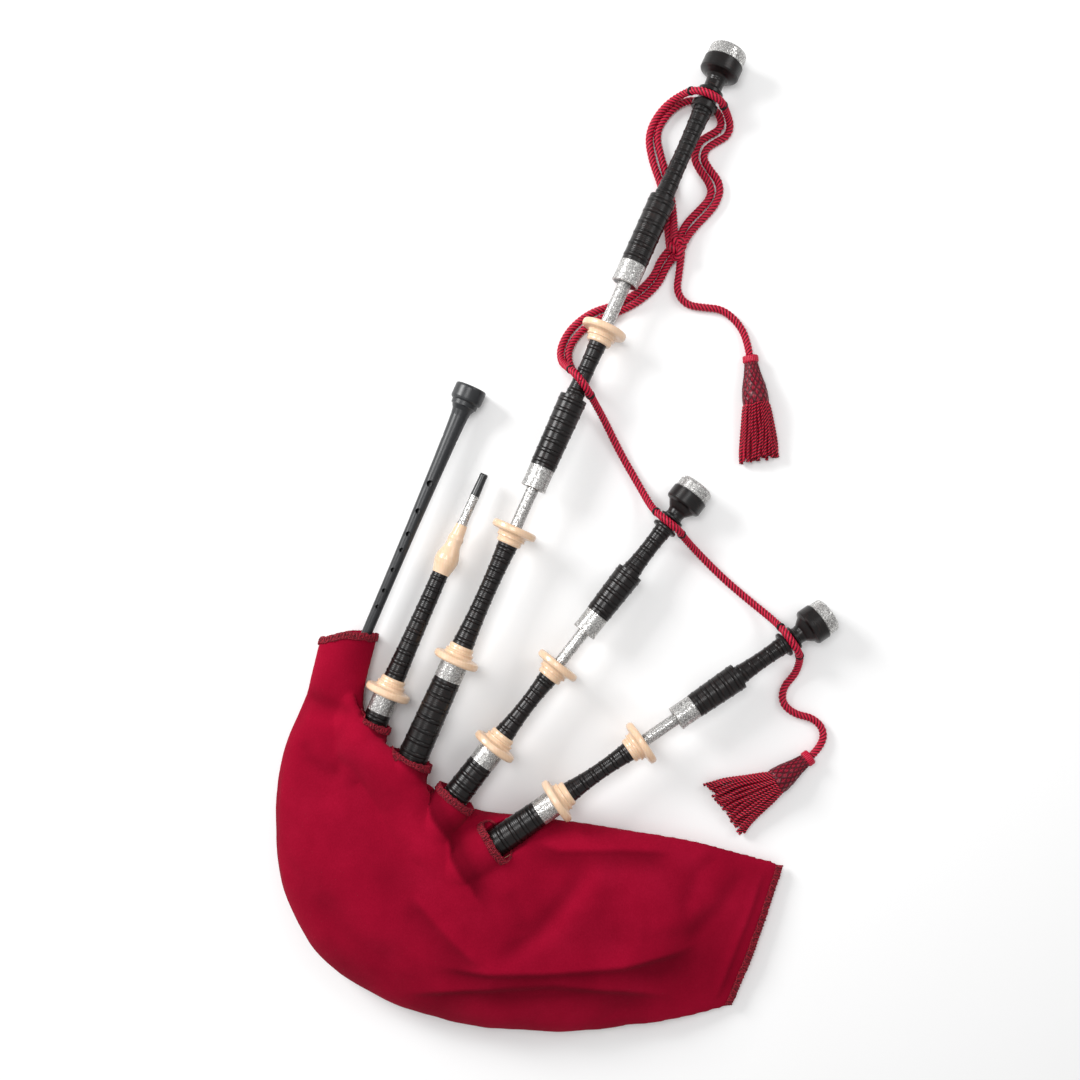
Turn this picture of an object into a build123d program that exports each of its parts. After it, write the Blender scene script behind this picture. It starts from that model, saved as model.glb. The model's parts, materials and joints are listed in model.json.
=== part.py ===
from build123d import *
import os
from math import radians, tan

# Great Highland bagpipes lying on a flat surface, in millimetres.
# X runs across the set, Y from the bag towards the bass drone's bell, Z up from the surface.
# Every turned piece is drawn along its own axis: s is the distance along it, r the radius,
# and s = 0 is the top of the stock that holds it.

os.makedirs("parts", exist_ok=True)

# ---- axes of the turned pieces: the stock's top, and a point at the far end ----
BASS_AXIS = ((-124.2, -152.6, 42.0), (205.8, 584.7, 23.97))
INNER_AXIS = ((-79.6, -255.2, 42.0), (166.7, 58.4, 22.05))
OUTER_AXIS = ((-6.8, -318.3, 46.0), (327.6, -93.9, 21.85))
BLOWPIPE_AXIS = ((-206.7, -192.6, 34.0), (-89.8, 74.0, 20.0))
CHANTER_AXIS = ((-230.5, -114.6, 21.0), (-105.4, 178.7, 19.35))

# ---- fits ----
RUNNING = 0.06  # radial clearance of a slide in its joint
END_GAP = 0.3  # between end faces of pieces that move apart

# ---- turning ----
COMB_PITCH = 13.8  # from bead to bead on the combed wood
BEAD = ((-2.8, 0), (-2.3, -0.5), (-1.8, 0.1), (-0.9, 0.5), (0.9, 0.5), (1.8, 0.1), (2.3, -0.5), (2.8, 0))
MOUNT_LENGTH = 23.0
MOUNT_RING_R = 27.8
MOUNT_PROFILE = (  # distance from the ring's face, radius
    (0, 24.6), (0.8, 26.6), (2.6, MOUNT_RING_R), (6.2, MOUNT_RING_R), (8.2, 26.8), (9.2, 24.4),
    (9.8, 18.6), (11.2, 17.3), (13.0, 16.8), (13.8, 17.5), (15.4, 17.5), (16.2, 15.4),
    (18.4, 14.8), (19.2, 15.3), (21.4, 15.1), (MOUNT_LENGTH, 13.8),
)

# ---- stocks: length, and the radii of the wood at its ends ----
STOCK_BORE_R = 9.3
TENON_R = 8.5
FERRULE_LENGTH = 21.0
BASS_STOCK = dict(top=0.0, length=165.0, top_r=16.4, low_r=18.4)
INNER_STOCK = dict(top=0.0, length=140.0, top_r=15.6, low_r=17.0)
OUTER_STOCK = dict(top=0.0, length=122.0, top_r=15.6, low_r=17.0)
BLOWPIPE_STOCK = dict(top=0.0, length=110.0, top_r=15.2, low_r=16.0)
CHANTER_STOCK = dict(top=-30.0, length=75.0, top_r=13.2, low_r=13.8)
BELL_WALL = 7.0

# ---- bag and cover ----
COVER_WALL = 1.6
BAG_GAP = 1.4
BAG_WALL = 2.4
TIE_LENGTH = 14.0
TIE_PROUD = 2.0
STOCK_GAP = 0.4  # between a stock and the cloth it presses on
EDGE_Z = 17.0  # height of the bag's side seam
SECTION = ((0.03, 0.341), (0.14, 0.694), (0.32, 0.933), (0.5, 1.0), (0.68, 0.933), (0.86, 0.694), (0.97, 0.341))
# left seam x, y; right seam x, y; height of the top; height of the bottom before it flattens
BAG_STATIONS = (
    ((-286, -126.6), (-219.5, -120.6), 40, 1),
    ((-305, -194), (-238, -206), 45, -3),
    ((-332, -265), (-211, -262), 58, -4),
    ((-341, -351), (-150, -309), 70, -5),
    ((-323, -445), (-98, -332), 77, -5),
    ((-264, -527), (-44, -339), 78, -5),
    ((-143, -582), (26, -348), 72, -5),
    ((-23, -597), (98, -360), 60, -4),
    ((98, -589), (172, -373), 40, -3),
    ((211, -573), (275, -402), 11, 1),
)
BAG_START_Y = -206.0  # where the leather bag begins in the neck
BAG_END_X = 95.0  # and ends in the tail
TRIM_WIDTH = 10.0
TRIM_PROUD = 1.4

# ---- cord ----
CORD_D = 8.3
CORD_ARC_SHARE = 0.45  # of the shorter run beside a bend
LOOP_FRONT = (
    (134.5, 356.5, 9), (132.5, 384, 4.8), (127, 424, 4.6), (114, 458, 4.6), (109, 491, 4.8), (126, 520, 8),
    (150, 535, 18), (166.2, 530.6, 43.2), (191.8, 519.2, 43.2), (204, 511, 16), (210, 499, 7), (206, 487, 4.6),
    (193, 480.5, 4.6), (180, 472, 4.6), (176.5, 460, 4.6), (185, 446, 4.6), (195, 434, 4.6), (198, 420, 4.6),
    (192, 404, 4.6), (182, 392, 4.6), (172, 382, 4.8), (161, 369.5, 5.5), (153.5, 357, 12.5),
)
LOOP_BACK = (
    (140, 360.5, 17), (141.5, 384, 4.8), (136.5, 424, 4.6), (126, 459, 4.6), (118.5, 490, 4.6), (132, 514, 5),
    (150, 528, 6.5), (166.2, 530.6, 8.7), (191.8, 519.2, 8.7), (199.5, 505, 6), (196, 494.5, 4.6),
    (184, 488.5, 4.6), (171, 480, 4.6), (165, 461, 4.6), (172.5, 446, 4.6), (182, 434, 4.6), (187.5, 420.5, 4.6),
    (182.5, 408, 4.6), (171, 396, 4.6), (154, 379, 4.8), (146, 360.5, 8),
)
LONG_RUN = (  # knot, over the bass's middle joint, over both tenors, to the lower tassel
    (132.5, 345, 9), (124, 336, 6), (117, 316, 4.6), (93, 293, 4.6), (66, 280, 4.6), (39, 272, 4.6),
    (14, 252, 4.6), (2, 229, 5), (3, 211, 12), (9.5, 203, 26), (19, 191.9, 50.2), (33, 173.5, 50.2),
    (42, 161, 26), (55, 141, 10), (76, 99, 4.6), (98, 61, 6), (112.5, 33.5, 18), (121.3, 22.6, 42.4), (142.7, 5.8, 42.4),
    (151.5, -3.5, 19), (170, -22, 7), (201, -53, 4.6), (234, -81, 6), (262, -104.5, 18.5), (270, -116.3, 43),
    (285, -138.7, 43), (292, -150, 19.5), (289, -169, 7), (274, -186, 4.6), (273, -206, 4.6), (289, -219, 4.6),
    (310, -223, 4.6), (324, -237, 4.6), (322, -256, 6), (308, -268.5, 10),
)
RETURN_RUN = (  # from the knot, under the bass's middle joint
    (139.5, 338.5, 7), (132, 329, 5), (122, 306, 4.6), (97, 284, 4.6), (69, 271, 4.6), (44, 262, 4.6),
    (23, 245, 4.6), (12, 227, 5), (12, 212, 9), (17, 200, 14), (30, 180, 15.2), (38.5, 167, 16),
)
UPPER_RUN = (
    (149, 338.5, 9.5), (147, 318, 4.8), (144, 298, 4.6), (156, 281, 4.6), (178, 278, 4.6), (200, 276, 4.6),
    (219, 260, 4.6), (230, 240, 5.5), (232.6, 219, 10),
)
KNOT_CENTRE = (143.5, 349.0, 13.1)
KNOT_R = 13.0
TIES = (  # a point on the cord where a thread holds it to the drone, and the cord's direction there
    ((158.5, 533.2, 31), (16, -4, 25)), ((197.7, 515.3, 30), (12, -8, -27)),
    ((13.9, 198, 37), (9.5, -11, 24)), ((37.8, 167, 38), (9, -12.5, -24)),
    ((116.9, 28, 30.5), (9, -11, 24)), ((147, 1.2, 30.5), (9, -9, -23)),
    ((266, -110.4, 31), (8, -12, 24.5)), ((288.6, -144.5, 31), (7, -11, -23.5)),
)
UPPER_TASSEL = dict(tip=(232.9, 216, 11), shoulder=(239, 158, 17.5), end=(246, 90, 10), fan=(23, 9))
LOWER_TASSEL = dict(tip=(305.5, -270, 11), shoulder=(261, -301, 17.5), end=(196, -333, 10), fan=(36, 9))


# ---- helpers ----
def along(axis, s=0.0):
    """The location at distance s along an axis, with its Z along the axis and its -Y up."""
    start, end = Vector(*axis[0]), Vector(*axis[1])
    direction = (end - start).normalized()
    return Plane(origin=start + direction * s, x_dir=direction.cross(Vector(0, 0, 1)), z_dir=direction).location


def lathe(outer, inner=None):
    """A turned piece from its outer and inner outlines, each a list of (s, r)."""
    inner = inner or [(outer[0][0], 0), (outer[-1][0], 0)]
    corners = [(r, s) for s, r in outer] + [(r, s) for s, r in reversed(inner)]
    return revolve(make_face(Plane.XZ * Polyline(*corners, close=True)), Axis.Z)


def tube(start, end, inner_r, outer_r):
    return lathe([(start, outer_r), (end, outer_r)], [(start, inner_r), (end, inner_r)])


def combed(start, end, start_r, waist_r, end_r):
    """Outline points of a waisted stretch with a raised bead every COMB_PITCH."""
    count = round((end - start) / COMB_PITCH)
    pitch = (end - start) / count
    points = [(start, start_r)]
    for i in range(count):
        for offset, rise in BEAD:
            s = start + (i + 0.5) * pitch + offset
            t = (s - start) / (end - start)
            base = start_r * (2 * t - 1) * (t - 1) + waist_r * 4 * t * (1 - t) + end_r * t * (2 * t - 1)
            points.append((s, base + rise))
    return points + [(end, end_r)]


def mount(start, inner_r, ring_last=False):
    """A projecting mount: a wide ring and a stepped collar."""
    if ring_last:
        outer = [(start + MOUNT_LENGTH - d, r) for d, r in reversed(MOUNT_PROFILE)]
    else:
        outer = [(start + d, r) for d, r in MOUNT_PROFILE]
    return lathe(outer, [(start, inner_r), (start + MOUNT_LENGTH, inner_r)])


def ferrule(start, length, outer_r, inner_r):
    """A metal band with a small bead at its mouth."""
    outer = [(start, outer_r - 0.4), (start + 0.6, outer_r + 0.5), (start + 2.4, outer_r + 0.5),
             (start + 3.0, outer_r), (start + length - 0.6, outer_r), (start + length, outer_r - 0.5)]
    return lathe(outer, [(start, inner_r), (start + length, inner_r)])


def save(name, *solids):
    export_step(solids[0] if len(solids) == 1 else Compound(children=list(solids)), f"parts/{name}.step")


# ---- stocks ----
def stock(spec, bore_r=STOCK_BORE_R):
    """The wooden socket tied into the bag: combed above, with a tie groove and a flange below."""
    top, low = spec["top"], spec["top"] - spec["length"]
    top_r, low_r = spec["top_r"], spec["low_r"]
    comb_end = top - FERRULE_LENGTH
    outer = [(low, low_r), (low + 8.6, low_r + 1.0), (low + 9.6, low_r - 0.8), (low + 26.5, low_r - 0.8),
             (low + 27.5, low_r)]
    outer += combed(low + 28.5, comb_end, low_r, (low_r + top_r) / 2, top_r)
    outer += [(comb_end, top_r - 1.8), (top, top_r - 1.8)]
    return lathe(outer, [(low, bore_r), (top, bore_r)])


def stock_ferrule(spec):
    top = spec["top"]
    return tube(top - FERRULE_LENGTH, top, spec["top_r"] - 1.8, spec["top_r"] + 0.2)


def stock_tie(spec):
    """A waxed-cord binding round the bag's collar on a stock."""
    low = spec["top"] - spec["length"] + 13.2
    inner_r = spec["low_r"] + 1.35
    turns = 5
    width = (TIE_LENGTH - 2) / turns
    outer = []
    for i in range(turns):
        outer += [(low + i * width, inner_r + 0.9), (low + (i + 0.5) * width, inner_r + TIE_PROUD)]
    outer.append((low + turns * width, inner_r + 0.9))
    return lathe(outer, [(low, inner_r), (low + turns * width, inner_r)])


# ---- drones ----
def bottom_joint(tenon, wood, radii, pin_r, pin_end, bore_r=4.0):
    """Tenon, combed body between two mounts, and the pin that carries the tuning slide."""
    outer = [(-tenon, TENON_R), (0, TENON_R), (0, 10.5), (wood[0], 10.5)]
    outer += combed(wood[0], wood[1], *radii)
    outer += [(wood[1], 9.5), (wood[1] + MOUNT_LENGTH, 9.5), (wood[1] + MOUNT_LENGTH, pin_r), (pin_end, pin_r)]
    return lathe(outer, [(-tenon, 4.4), (16 - tenon, 4.4), (17 - tenon, bore_r), (pin_end, bore_r)])


def drone_reed(seat):
    """A single-tongue drone reed, hanging from its seat in the tenon, with its slot cut on one side."""
    length, body_r = 68.0, 4.0
    low = seat - length
    body = lathe([(low, 3.2), (low + 2, body_r), (seat - 15, body_r), (seat - 14.5, 4.3), (seat, 4.35)],
                 [(low, 0), (low + 5, 0), (low + 5, 2.0), (seat, 2.0)])
    slot = Pos(0, -body_r, low + 32) * Box(8.4, 2.6, 44)
    tongue = Pos(0, -body_r + 1.8, low + 32) * Box(5.4, 0.9, 43.6)
    return body - slot, tongue


def reed_bridle(seat):
    """The ring that is pushed along the reed to tune it, above the tongue's root."""
    return tube(seat - 20.5, seat - 17, 4.0, 5.4)


def top_joint(mouth, chamber_end, chamber_r, bore_r, thick, thin, bead, bell, radii):
    """The upper joint, from its ferrule seat to the bell's rim."""
    outer = [(mouth, radii["seat"]), (thick[0], radii["seat"])]
    outer += combed(thick[0], thick[1], *radii["thick"])
    outer += combed(thin[0], thin[1], *radii["thin"])
    groove_r = radii["groove"]
    outer += [(bead[0], radii["bead"] - 1.4), (bead[0] + 1.2, radii["bead"]), (bead[1] - 1.2, radii["bead"]),
              (bead[1], radii["bead"] - 1.6), (bead[1] + 1, groove_r + 0.6), (bead[1] + 3, groove_r),
              (bead[2] - 3, groove_r), (bead[2] - 1, groove_r + 0.6), (bead[2], radii["bead"] - 1.8),
              (bead[2] + 1.2, radii["bead"] - 0.5), (bead[3] - 1.2, radii["bead"] - 0.5),
              (bead[3], radii["neck"] + 1), (bead[3] + 3, radii["neck"])]
    rim_r = radii["rim"]
    outer += [(bell[0] - 4, radii["neck"]), (bell[0], radii["neck"] + 0.8), (bell[0] + 3, radii["neck"] + 3.2),
              (bell[1] - 2.5, rim_r - 5), (bell[1] - 0.8, rim_r - 1.2), (bell[1] + 1, rim_r), (bell[2] - 1, rim_r),
              (bell[2], rim_r - 0.9)]
    cavity_r = rim_r - BELL_WALL
    inner = [(mouth, chamber_r), (chamber_end, chamber_r), (chamber_end + 1, bore_r), (bell[0] - 6, bore_r),
             (bell[0] + 4, cavity_r * 0.62), (bell[1] + 1, cavity_r), (bell[2], cavity_r)]
    return lathe(outer, inner)


def bell_cap(start, end, outer_r, seat_r, mouth_r):
    """A metal cap over the bell's rim, with a rounded edge and a flanged mouth."""
    outer = [(start, outer_r - 0.6), (start + 0.8, outer_r), (end - 4, outer_r), (end - 1.6, outer_r - 0.9),
             (end, outer_r - 3.2)]
    return lathe(outer, [(start, seat_r), (end - 6, seat_r), (end - 6, mouth_r), (end, mouth_r)])


BASS_TENON = 38.0
BASS_LOWER_PIN_R = 6.7
BASS_LOWER_SLIDE_R = 7.5
BASS_LOWER_PIN_END = 272.0
BASS_MIDDLE_MOUTH = 228.0
BASS_UPPER_PIN_R = 7.4
BASS_UPPER_SLIDE_R = 8.2
BASS_UPPER_PIN_END = 540.0
BASS_TOP_MOUTH = 497.0
HEMP_LENGTH = 12.0


def build_bass():
    place = along(BASS_AXIS)
    wood = (MOUNT_LENGTH, 155.0)
    slide_start = wood[1] + MOUNT_LENGTH
    save("bass_stock", place * stock(BASS_STOCK))
    save("bass_bottom_joint", place * bottom_joint(BASS_TENON, wood, (13.2, 10.2, 12.4), BASS_LOWER_PIN_R,
                                                   BASS_LOWER_PIN_END))
    save("bass_bottom_mounts", place * mount(0, 10.5), place * mount(wood[1], 9.5, ring_last=True))
    save("bass_lower_tuning_slide",
         place * tube(slide_start, BASS_LOWER_PIN_END - HEMP_LENGTH, BASS_LOWER_PIN_R, BASS_LOWER_SLIDE_R))

    thick, thin, mount_start = (256.0, 347.0), (347.0, 418.5), 418.5
    middle_slide = mount_start + MOUNT_LENGTH
    chamber_r = BASS_LOWER_SLIDE_R + RUNNING
    outer = [(BASS_MIDDLE_MOUTH, 13.2), (thick[0], 13.2)] + combed(thick[0], thick[1], 15.6, 16.2, 16.9)
    outer += combed(thin[0], thin[1], 11.6, 9.7, 11.0)
    outer += [(mount_start, 9.2), (middle_slide, 9.2), (middle_slide, BASS_UPPER_PIN_R),
              (BASS_UPPER_PIN_END, BASS_UPPER_PIN_R)]
    inner = [(BASS_MIDDLE_MOUTH, chamber_r), (322, chamber_r), (323, 4.5), (BASS_UPPER_PIN_END, 4.5)]
    save("bass_middle_joint", place * lathe(outer, inner))
    save("bass_middle_ferrule", place * ferrule(BASS_MIDDLE_MOUTH, 28, 15.2, 13.2))
    save("bass_middle_mount", place * mount(mount_start, 9.2, ring_last=True))
    save("bass_upper_tuning_slide",
         place * tube(middle_slide, BASS_UPPER_PIN_END - HEMP_LENGTH, BASS_UPPER_PIN_R, BASS_UPPER_SLIDE_R))
    save("bass_upper_hemp", place * tube(BASS_UPPER_PIN_END - HEMP_LENGTH, BASS_UPPER_PIN_END - 1,
                                         BASS_UPPER_PIN_R, BASS_UPPER_SLIDE_R))

    radii = dict(seat=14.2, thick=(16.0, 16.0, 16.2), thin=(12.0, 10.0, 11.8), bead=16.0, groove=12.2,
                 neck=11.2, rim=24.3)
    save("bass_top_joint", place * top_joint(BASS_TOP_MOUTH, 592, BASS_UPPER_SLIDE_R + RUNNING, 5.0, (524, 610),
                                             (610, 728), (728, 737, 748, 754), (768, 776, 792), radii))
    save("bass_top_ferrule", place * ferrule(BASS_TOP_MOUTH, 27, 16.2, 14.2))
    save("bass_bell_cap", place * bell_cap(792, 808, 23.2, 17.3, 11.0))


TENOR_TENON = 36.0
TENOR_PIN_R = 6.4
TENOR_SLIDE_R = 7.2
TENOR_PIN_END = 216.0
TENOR_TOP_MOUTH = 177.0


def build_tenor(name, axis, stock_spec):
    place = along(axis)
    wood = (MOUNT_LENGTH, 108.0)
    slide_start = wood[1] + MOUNT_LENGTH
    save(f"{name}_stock", place * stock(stock_spec))
    save(f"{name}_bottom_joint", place * bottom_joint(TENOR_TENON, wood, (12.6, 9.6, 11.8),
                                                      TENOR_PIN_R, TENOR_PIN_END))
    save(f"{name}_bottom_mounts", place * mount(0, 10.5), place * mount(wood[1], 9.5, ring_last=True))
    save(f"{name}_tuning_slide",
         place * tube(slide_start, TENOR_PIN_END - HEMP_LENGTH, TENOR_PIN_R, TENOR_SLIDE_R))
    radii = dict(seat=12.6, thick=(15.0, 15.8, 16.5), thin=(12.0, 9.8, 10.8), bead=15.4, groove=11.2,
                 neck=10.5, rim=22.8)
    save(f"{name}_top_joint", place * top_joint(TENOR_TOP_MOUTH, 264, TENOR_SLIDE_R + RUNNING, 4.2, (204, 268),
                                                (268, 333), (333, 338, 348, 352), (360, 371, 387), radii))
    save(f"{name}_top_ferrule", place * ferrule(TENOR_TOP_MOUTH, 27, 14.6, 12.6))
    save(f"{name}_bell_cap", place * bell_cap(387, 402, 21.4, 15.8, 9.5))


def build_drone_fittings():
    """The pieces that the three drones share: reeds, bridles and hemp on the tenons and tuning pins."""
    drones = (("bass", BASS_AXIS, BASS_TENON, BASS_LOWER_PIN_R, BASS_LOWER_SLIDE_R, BASS_LOWER_PIN_END),
              ("inner_tenor", INNER_AXIS, TENOR_TENON, TENOR_PIN_R, TENOR_SLIDE_R, TENOR_PIN_END),
              ("outer_tenor", OUTER_AXIS, TENOR_TENON, TENOR_PIN_R, TENOR_SLIDE_R, TENOR_PIN_END))
    reeds, bridles, hemp = [], [], []
    for name, axis, tenon, pin_r, slide_r, pin_end in drones:
        place = along(axis)
        seat = 15 - tenon
        reeds += [place * piece for piece in drone_reed(seat)]
        hemp.append(place * tube(3 - tenon, -4, TENON_R, STOCK_BORE_R))
        hemp.append(place * tube(pin_end - HEMP_LENGTH, pin_end - 1, pin_r, slide_r))
        bridles.append(place * reed_bridle(seat))
    save("drone_reeds", *reeds)
    save("reed_bridles", *bridles)
    save("root_hemp", *hemp)


# ---- blowpipe ----
BLOW_TENON = 34.0
BLOW_WOOD_END = 160.0
BLOW_BULB_END = 224.0
BLOW_SLEEVE_END = 262.0
BLOW_TIP_END = 291.0
AIRWAY_R = 3.0
TIP_TUBE_R = 4.4
FLAP_R = 6.2


def build_blowpipe():
    place = along(BLOWPIPE_AXIS)
    save("blowpipe_stock", place * stock(BLOWPIPE_STOCK))
    outer = [(-BLOW_TENON, TENON_R), (END_GAP, TENON_R), (END_GAP, 10.4), (MOUNT_LENGTH + END_GAP, 10.4)]
    outer += combed(MOUNT_LENGTH + END_GAP, BLOW_WOOD_END, 12.8, 10.8, 9.9)
    outer += [(BLOW_WOOD_END, 6.6), (BLOW_WOOD_END + 18, 6.6)]
    save("blowpipe", place * lathe(outer, [(-BLOW_TENON, 4.6), (BLOW_WOOD_END + 18, 4.6)]))
    save("blowpipe_mount", place * mount(END_GAP, 10.4))
    bulb = [(160, 10.6), (162, 11.0), (168, 12.6), (173, 14.0), (178, 14.5), (183, 14.0), (189, 12.0),
            (195, 9.8), (200, 9.0), (203, 9.4), (205, 9.9), (207.5, 9.4), (210, 8.2), (217, 7.8), (BLOW_BULB_END, 7.0)]
    save("mouthpiece_bulb", place * lathe(bulb, [(160, 6.6), (178, 6.6), (178, TIP_TUBE_R), (BLOW_BULB_END, TIP_TUBE_R)]))
    sleeve = [(BLOW_BULB_END, 6.4), (226.4, 6.4), (227, 5.7), (259.6, 5.7), (260.2, 6.2), (BLOW_SLEEVE_END, 6.2)]
    save("mouthpiece_sleeve", place * lathe(sleeve, [(BLOW_BULB_END, TIP_TUBE_R), (BLOW_SLEEVE_END, TIP_TUBE_R)]))
    tip = [(180, TIP_TUBE_R), (BLOW_SLEEVE_END, TIP_TUBE_R), (BLOW_SLEEVE_END, 5.6), (285, 4.9),
           (289, 5.1), (BLOW_TIP_END, 4.6)]
    save("mouthpiece_tip", place * lathe(tip, [(180, AIRWAY_R), (BLOW_TIP_END, AIRWAY_R)]))
    hemp = place * tube(3 - BLOW_TENON, -4, TENON_R, STOCK_BORE_R - RUNNING)
    save("blowpipe_hemp", hemp)
    flap = Cylinder(FLAP_R, 1.2) + Pos(0, -FLAP_R + 0.6, 0) * Box(5, 3, 1.2)
    save("valve_flap", along(BLOWPIPE_AXIS, -BLOW_TENON - END_GAP - 0.6) * flap)


# ---- chanter ----
CHANTER_TENON_END = -66.0
SOLE_START = 301.0
SOLE_END = 319.0
SOLE_BORE_R = 10.0
FINGER_HOLES = ((31, 2.6), (52, 2.9), (79, 3.0), (105, 3.0), (126, 3.2), (156, 3.5), (192, 4.0))
THUMB_HOLE = (17, 2.4)
SOUND_HOLE = (251, 3.8)


def build_chanter():
    place = along(CHANTER_AXIS)
    outer = [(CHANTER_TENON_END, 8.2), (-30, 8.2), (-30 + END_GAP, 8.2), (-30 + END_GAP, 11.5), (-26, 11.5),
             (-24, 9.4), (-19, 7.8), (-6, 6.4), (0, 6.4), (72, 6.7), (144, 7.3), (216, 8.6), (262, 9.8), (281, 10.7),
             (288, 11.8), (293, 14.4), (294, 16.0), (299, 16.4), (299.6, 17.8), (SOLE_START, 18.9), (303, 19.3),
             (SOLE_END - 3, 19.3), (SOLE_END - 0.8, 18.8), (SOLE_END, 17.8)]
    inner = [(CHANTER_TENON_END, 4.2), (-52, 4.2), (-50, 2.2), (SOLE_START + 4, SOLE_BORE_R), (SOLE_END, SOLE_BORE_R)]
    body = lathe(outer, inner)
    depth = 14.0
    for s, r in FINGER_HOLES:
        body -= Pos(0, -depth / 2, s) * Rot(90, 0, 0) * Cylinder(r, depth)
    body -= Pos(0, depth / 2, THUMB_HOLE[0]) * Rot(90, 0, 0) * Cylinder(THUMB_HOLE[1], depth)
    body -= Pos(0, 0, SOUND_HOLE[0]) * Rot(0, 90, 0) * Cylinder(SOUND_HOLE[1], 2 * depth)
    save("chanter", place * body)
    save("chanter_stock", place * stock(CHANTER_STOCK, 8.9))
    save("chanter_hemp", place * tube(CHANTER_TENON_END + 3, -34, 8.2, 8.9 - RUNNING))
    seat = CHANTER_TENON_END + 12
    staple = lathe([(seat - 24, 2.6), (seat - 12, 3.6), (seat, 4.2)], [(seat - 24, 1.4), (seat, 2.0)])
    levels = [Plane.XY.offset(seat - drop) for drop in (20, 30, 46)]
    blades = loft([level * Ellipse(*size) for level, size in zip(levels, ((4.4, 4.3), (5.4, 2.9), (6.6, 1.1)))])
    gap = loft([level * Ellipse(*size) for level, size in zip(levels, ((3.2, 3.1), (4.4, 1.9), (6.0, 0.45)))])
    save("chanter_reed", place * (blades - gap), place * (staple - blades))


# ---- bag and cover ----
STOCKS = ((BLOWPIPE_AXIS, BLOWPIPE_STOCK), (BASS_AXIS, BASS_STOCK), (INNER_AXIS, INNER_STOCK),
          (OUTER_AXIS, OUTER_STOCK))
SLEEVE_MOUTHS = ((-36.0, 21.0), (-120.0, 26.0), (-66.0, 25.5), (-80.0, 25.5))  # place on the axis, radius
CHANTER_BOSS = 3.6
STOCK_BOSS = 7.0


def station(t):
    """The bag's outline at a place between two stations, or just beyond the first or last."""
    i = max(0, min(len(BAG_STATIONS) - 2, int(t)))
    (left_a, right_a, top_a, low_a), (left_b, right_b, top_b, low_b) = BAG_STATIONS[i:i + 2]
    blend = t - i

    def mix(a, b):
        return a + (b - a) * blend

    return ((mix(left_a[0], left_b[0]), mix(left_a[1], left_b[1])),
            (mix(right_a[0], right_b[0]), mix(right_a[1], right_b[1])), mix(top_a, top_b), mix(low_a, low_b))


def section(t, inset):
    """A cushion-shaped cross-section between the two side seams, shrunk by inset."""
    (left_x, left_y), (right_x, right_y), top_z, low_z = station(t)
    edge_z = min(EDGE_Z, (top_z + low_z) / 2)
    left, right = Vector(left_x, left_y, edge_z), Vector(right_x, right_y, edge_z)
    shrink = (right - left).normalized() * inset
    left, right = left + shrink, right - shrink
    halves = []
    for height in (top_z - inset - edge_z, low_z + inset - edge_z):
        points = [left + (right - left) * share + Vector(0, 0, height * rise) for share, rise in SECTION]
        halves.append(Spline(left, *points, right))
    return make_face(halves)


def bag_body(inset, first=0.0, last=len(BAG_STATIONS) - 1.0):
    """The banana-shaped body, flattened where it lies on the surface."""
    between = [i for i in range(1, len(BAG_STATIONS)) if i < last - 0.2]
    body = loft([section(t, inset) for t in (first, *between, last)])
    return body & Pos(0, -350, inset + 100) * Box(900, 900, 200)


def low_end(stock_spec):
    return stock_spec["top"] - stock_spec["length"]


def swelling(axis, stock_spec, extra, top, deep=60.0):
    """A round swelling of the cloth or leather over a stock's lower end, fading into the body."""
    low, r = low_end(stock_spec), stock_spec["low_r"] + extra
    return along(axis) * lathe([(low - deep, max(6.0, r - 14)), (low - 5, r), (top, r)])


def sleeve(axis, stock_spec, mouth, mouth_r, inset, reach=0.0):
    low, r = low_end(stock_spec), stock_spec["low_r"] + STOCK_BOSS + COVER_WALL + BAG_GAP + 0.5 - inset
    return along(axis) * lathe([(low - 60, max(6.0, r - 14)), (low - 5, r), (low + 14, r),
                                (mouth + reach, mouth_r - inset)])


def channel(axis, stock_spec, mouth, extra):
    """The dent that a stock presses into the cloth beyond its sleeve."""
    return along(axis) * Pos(0, 0, mouth / 2 + 15) * Cylinder(stock_spec["low_r"] + extra, 30 - mouth)


def build_cover():
    cover, hollow = bag_body(0), bag_body(COVER_WALL, first=-0.03, last=len(BAG_STATIONS) - 1.02)
    for (axis, stock_spec), (mouth, mouth_r) in zip(STOCKS, SLEEVE_MOUTHS):
        cover -= channel(axis, stock_spec, mouth, STOCK_GAP)
        hollow -= channel(axis, stock_spec, mouth, STOCK_GAP + COVER_WALL)
    for (axis, stock_spec), (mouth, mouth_r) in zip(STOCKS, SLEEVE_MOUTHS):
        cover += sleeve(axis, stock_spec, mouth, mouth_r, 0)
        hollow += sleeve(axis, stock_spec, mouth, mouth_r, COVER_WALL, reach=1)
    save("bag_cover", cover - hollow)
    trims = []
    for (axis, _), (mouth, mouth_r) in zip(STOCKS, SLEEVE_MOUTHS):
        ring = lathe([(mouth - TRIM_WIDTH, mouth_r + 3), (mouth, mouth_r + TRIM_PROUD)],
                     [(mouth - TRIM_WIDTH, mouth_r - 4), (mouth, mouth_r - 4)])
        trims += [piece for piece in (along(axis) * ring - cover - hollow).solids() if piece.volume > 200]
    last = len(BAG_STATIONS) - 1
    neck_trim = loft([section(-0.005, -TRIM_PROUD), section(0.14, -TRIM_PROUD)]) - cover - hollow
    tail_trim = loft([section(last + 0.0, -0.4), section(last + 0.07, 0.6)]) - cover
    floor = Pos(0, -350, 100) * Box(900, 900, 200)
    trims += (neck_trim & floor).solids() + (tail_trim & floor).solids()
    save("cover_trims", *trims)


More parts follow.
